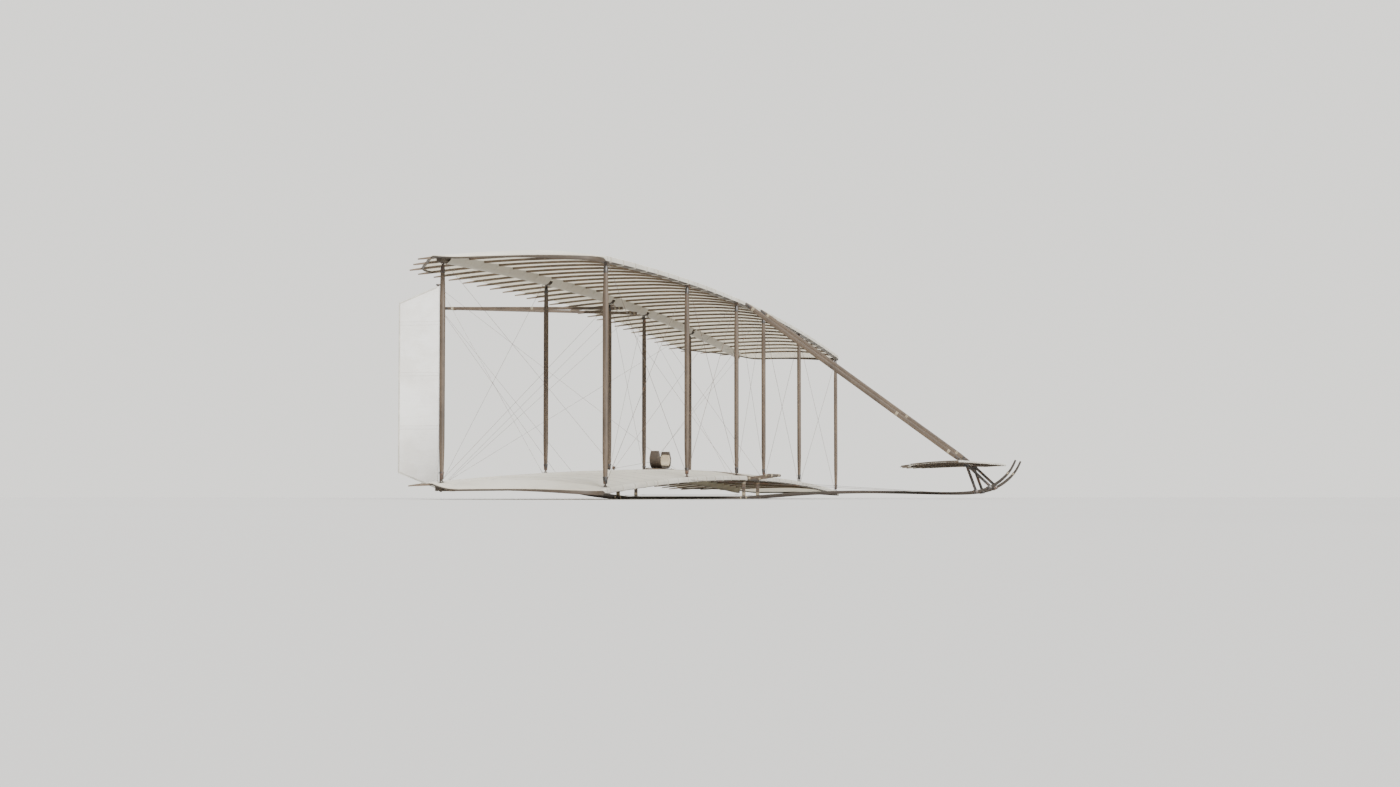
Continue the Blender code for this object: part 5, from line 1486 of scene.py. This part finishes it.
def stay(shape, start, end, gauge=STAY_GAUGE):
    """A wire with an eye and its own tail twisted back round it at each end."""
    start, end = Vector(start), Vector(end)
    way = (end - start).normalized()
    side = Vector(AFT) if abs(way.y) < 0.9 else Vector(ACROSS)
    steps = 6
    sweep(shape, [start.lerp(end, step / steps) for step in range(steps + 1)], side, circle(6), gauge)
    for place, inward in ((start, way), (end, -way)):
        served = [place + inward * (0.010 + 0.0022 * step) for step in range(17)]
        sweep(shape, served, side, circle(7), [gauge * (1.9 if step % 2 else 1.45) for step in range(17)])
        ring(shape, place + inward * 0.003, way.cross(side), 0.0052, gauge * 0.8, 12)


def steel_wire_finish(name):
    """Drawn steel, dull, with brown rust in patches along its length, and painted sheen in bands along its
    lay.
    """
    finish, tree, shader = new_material(name)
    along, around, _ = put(tree, "SeparateXYZ", {0: grain_place(tree)}).outputs
    lay = maths(tree, "SINE", maths(tree, "MULTIPLY", maths(tree, "ADD", along, around), 1500))
    rusty = use_group(tree, wear_group, {"Place": object_place(tree), "Size": 11.0,
                                         "Cover": 0.42})["Mask"]
    # Painted sheen and shade: bright and dark bands in the colour follow the lay.
    painted_lay_sheen = mix_colour(tree, ramp(tree, lay, -1, 1), WIRE_DARK, WIRE_BRIGHT)
    tree.links.new(mix_colour(tree, rusty, painted_lay_sheen, WIRE_RUST), shader.inputs["Base Color"])
    bare = maths(tree, "SUBTRACT", 0.95, maths(tree, "MULTIPLY", rusty, 0.8), True)
    tree.links.new(bare, shader.inputs["Metallic"])
    tree.links.new(ramp(tree, rusty, 0, 1, 0.36, 0.75), shader.inputs["Roughness"])
    emboss(tree, shader, lay, 0.3, 0.0004)
    return finish


wire_steel = steel_wire_finish("wire_steel")
FRONT_FOOT, FRONT_HEAD = strut_ends["front"][1], strut_ends["front"][2]
REAR_FOOT, REAR_HEAD = strut_ends["rear"][1], strut_ends["rear"][2]
INNER, MIDDLE, OUTER = STRUT_PLACES
BESIDE = 0.024
REAR_ROW = REAR_SPAR["row"]
GUY_X, GUY_ROW = 0.3139, -1.570
SKID_EYE_X = 0.286
bay_wires = {where: new_shape() for where in ("port", "starboard")}
for side, where in SIDES:
    shape = bay_wires[where]
    for inner, outer in ((INNER, MIDDLE), (MIDDLE, OUTER)):
        near, far = side * (inner + BESIDE), side * (outer - BESIDE)
        stay(shape, on_wing(near, 0.013, FRONT_FOOT + 0.004), on_wing(far, 0.013, FRONT_HEAD - 0.004))
        stay(shape, on_wing(near, 0.031, FRONT_HEAD - 0.004), on_wing(far, 0.031, FRONT_FOOT + 0.004))
    covered = [f"stay_{kind}_{bay}_{where}" for kind in ("flying", "landing") for bay in ("inner", "outer")]
    make_piece(f"front_bay_wires_{where}", shape, wire_steel, replaced=covered)
    guy = new_shape()
    spot = min(skid_line, key=lambda point: abs(point.y - GUY_ROW))
    stay(guy, on_wing(side * MIDDLE, -0.002, FRONT_SPAR["height"]),
         flat_on_wing(side * GUY_X, GUY_ROW, spot.z + 0.002))
    make_piece(f"skid_guy_{where}", guy, wire_steel, replaced=[f"stay_skid_{where}"])
middle_wires = new_shape()
for row, foot, head in ((0.020, FRONT_FOOT, FRONT_HEAD), (REAR_ROW, REAR_FOOT, REAR_HEAD)):
    for lean in (-1, 1):
        stay(middle_wires, on_wing(-lean * (INNER - BESIDE), row + lean * 0.008, foot + 0.004),
             on_wing(lean * (INNER - BESIDE), row + lean * 0.008, head - 0.004), LIGHT_GAUGE)
for side in (-1, 1):
    for shift, first, second in ((0.006, FRONT_FOOT + 0.002, REAR_HEAD - 0.004),
                                 (-0.006, FRONT_HEAD - 0.002, REAR_FOOT + 0.004)):
        stay(middle_wires, on_wing(side * INNER + shift, 0.046, first),
             on_wing(side * INNER + shift, REAR_ROW - 0.026, second), LIGHT_GAUGE)
make_piece("middle_bay_wires", middle_wires, wire_steel)
skid_wires = new_shape()
for lean in (-1, 1):
    stay(skid_wires, flat_on_wing(-lean * SKID_EYE_X, -1.20, -0.113 + lean * 0.002),
         flat_on_wing(lean * SKID_EYE_X, -0.30, -0.130 + lean * 0.002), LIGHT_GAUGE)
    stay(skid_wires, flat_on_wing(-lean * SKID_EYE_X, 0.06, -0.137 + lean * 0.002),
         flat_on_wing(lean * SKID_EYE_X, 0.99, -0.137 + lean * 0.002), LIGHT_GAUGE)
make_piece("skid_cross_wires", skid_wires, wire_steel)
tail_wires = new_shape()
for side in (-1, 1):
    stay(tail_wires, on_wing(side * MIDDLE, REAR_ROW + 0.026, REAR_HEAD - 0.002),
         flat_on_wing(side * 0.013, POST_ROW, RUDDER_FOOT + 0.030), LIGHT_GAUGE)
    stay(tail_wires, on_wing(side * MIDDLE, REAR_ROW + 0.026, REAR_FOOT + 0.004),
         flat_on_wing(side * 0.013, POST_ROW, RUDDER_HEAD - 0.030), LIGHT_GAUGE)
    for start, height in ((flat_on_wing(side * 0.292, 1.46, -0.082), 1.36),
                          (flat_on_wing(side * 0.242, 1.06, WING_GAP - 0.030), -0.06)):
        stay(tail_wires, start, flat_on_wing(side * 0.010, POST_ROW - 0.014, height), LIGHT_GAUGE)
make_piece("tail_wires", tail_wires, wire_steel)
twist_cables = new_shape()
pulleys = new_shape()
for side in (-1, 1):
    cradle = flat_on_wing(side * 0.196, BOARD_ROW + 0.030, YOKE_BASE + 0.050)
    block = on_wing(side * (INNER - 0.030), REAR_ROW - 0.030, REAR_FOOT + 0.026)
    stay(twist_cables, cradle, block, LIGHT_GAUGE)
    stay(twist_cables, block + Vector((side * 0.012, 0, 0.010)),
         on_wing(side * (OUTER - BESIDE), REAR_ROW - 0.012, REAR_HEAD - 0.004), LIGHT_GAUGE)
    high = on_wing(side * (INNER + 0.030), REAR_ROW + 0.012, REAR_HEAD - 0.022)
    stay(twist_cables, on_wing(side * (OUTER - BESIDE), REAR_ROW + 0.012, REAR_FOOT + 0.006), high,
         LIGHT_GAUGE)
    for centre in (block + Vector((side * 0.006, 0, 0.004)), high - Vector((side * 0.004, 0, 0))):
        groove = [centre + Vector((0, step, 0)) for step in (-0.006, -0.003, 0.0, 0.003, 0.006)]
        sweep(pulleys, groove, ACROSS, circle(18), [0.034, 0.031, 0.027, 0.031, 0.034])
        for face in (-1, 1):
            cheek = [centre + Vector((side * reach, face * 0.0085, 0)) for reach in (-0.020, 0.012)]
            sweep(pulleys, cheek, AFT, cut_square(0.4), 0.0022, 0.012)
        for face in (1, -1):
            bolt(pulleys, centre + Vector((0, face * 0.0096, 0)), (0, face, 0), 0.008)
stay(twist_cables, on_wing(-(INNER - 0.026), REAR_ROW + 0.012, REAR_HEAD - 0.022),
     on_wing(INNER - 0.026, REAR_ROW + 0.012, REAR_HEAD - 0.022), LIGHT_GAUGE)
make_piece("wing_twisting_cables", twist_cables, wire_steel)
make_piece("cable_pulleys", pulleys, black_iron)
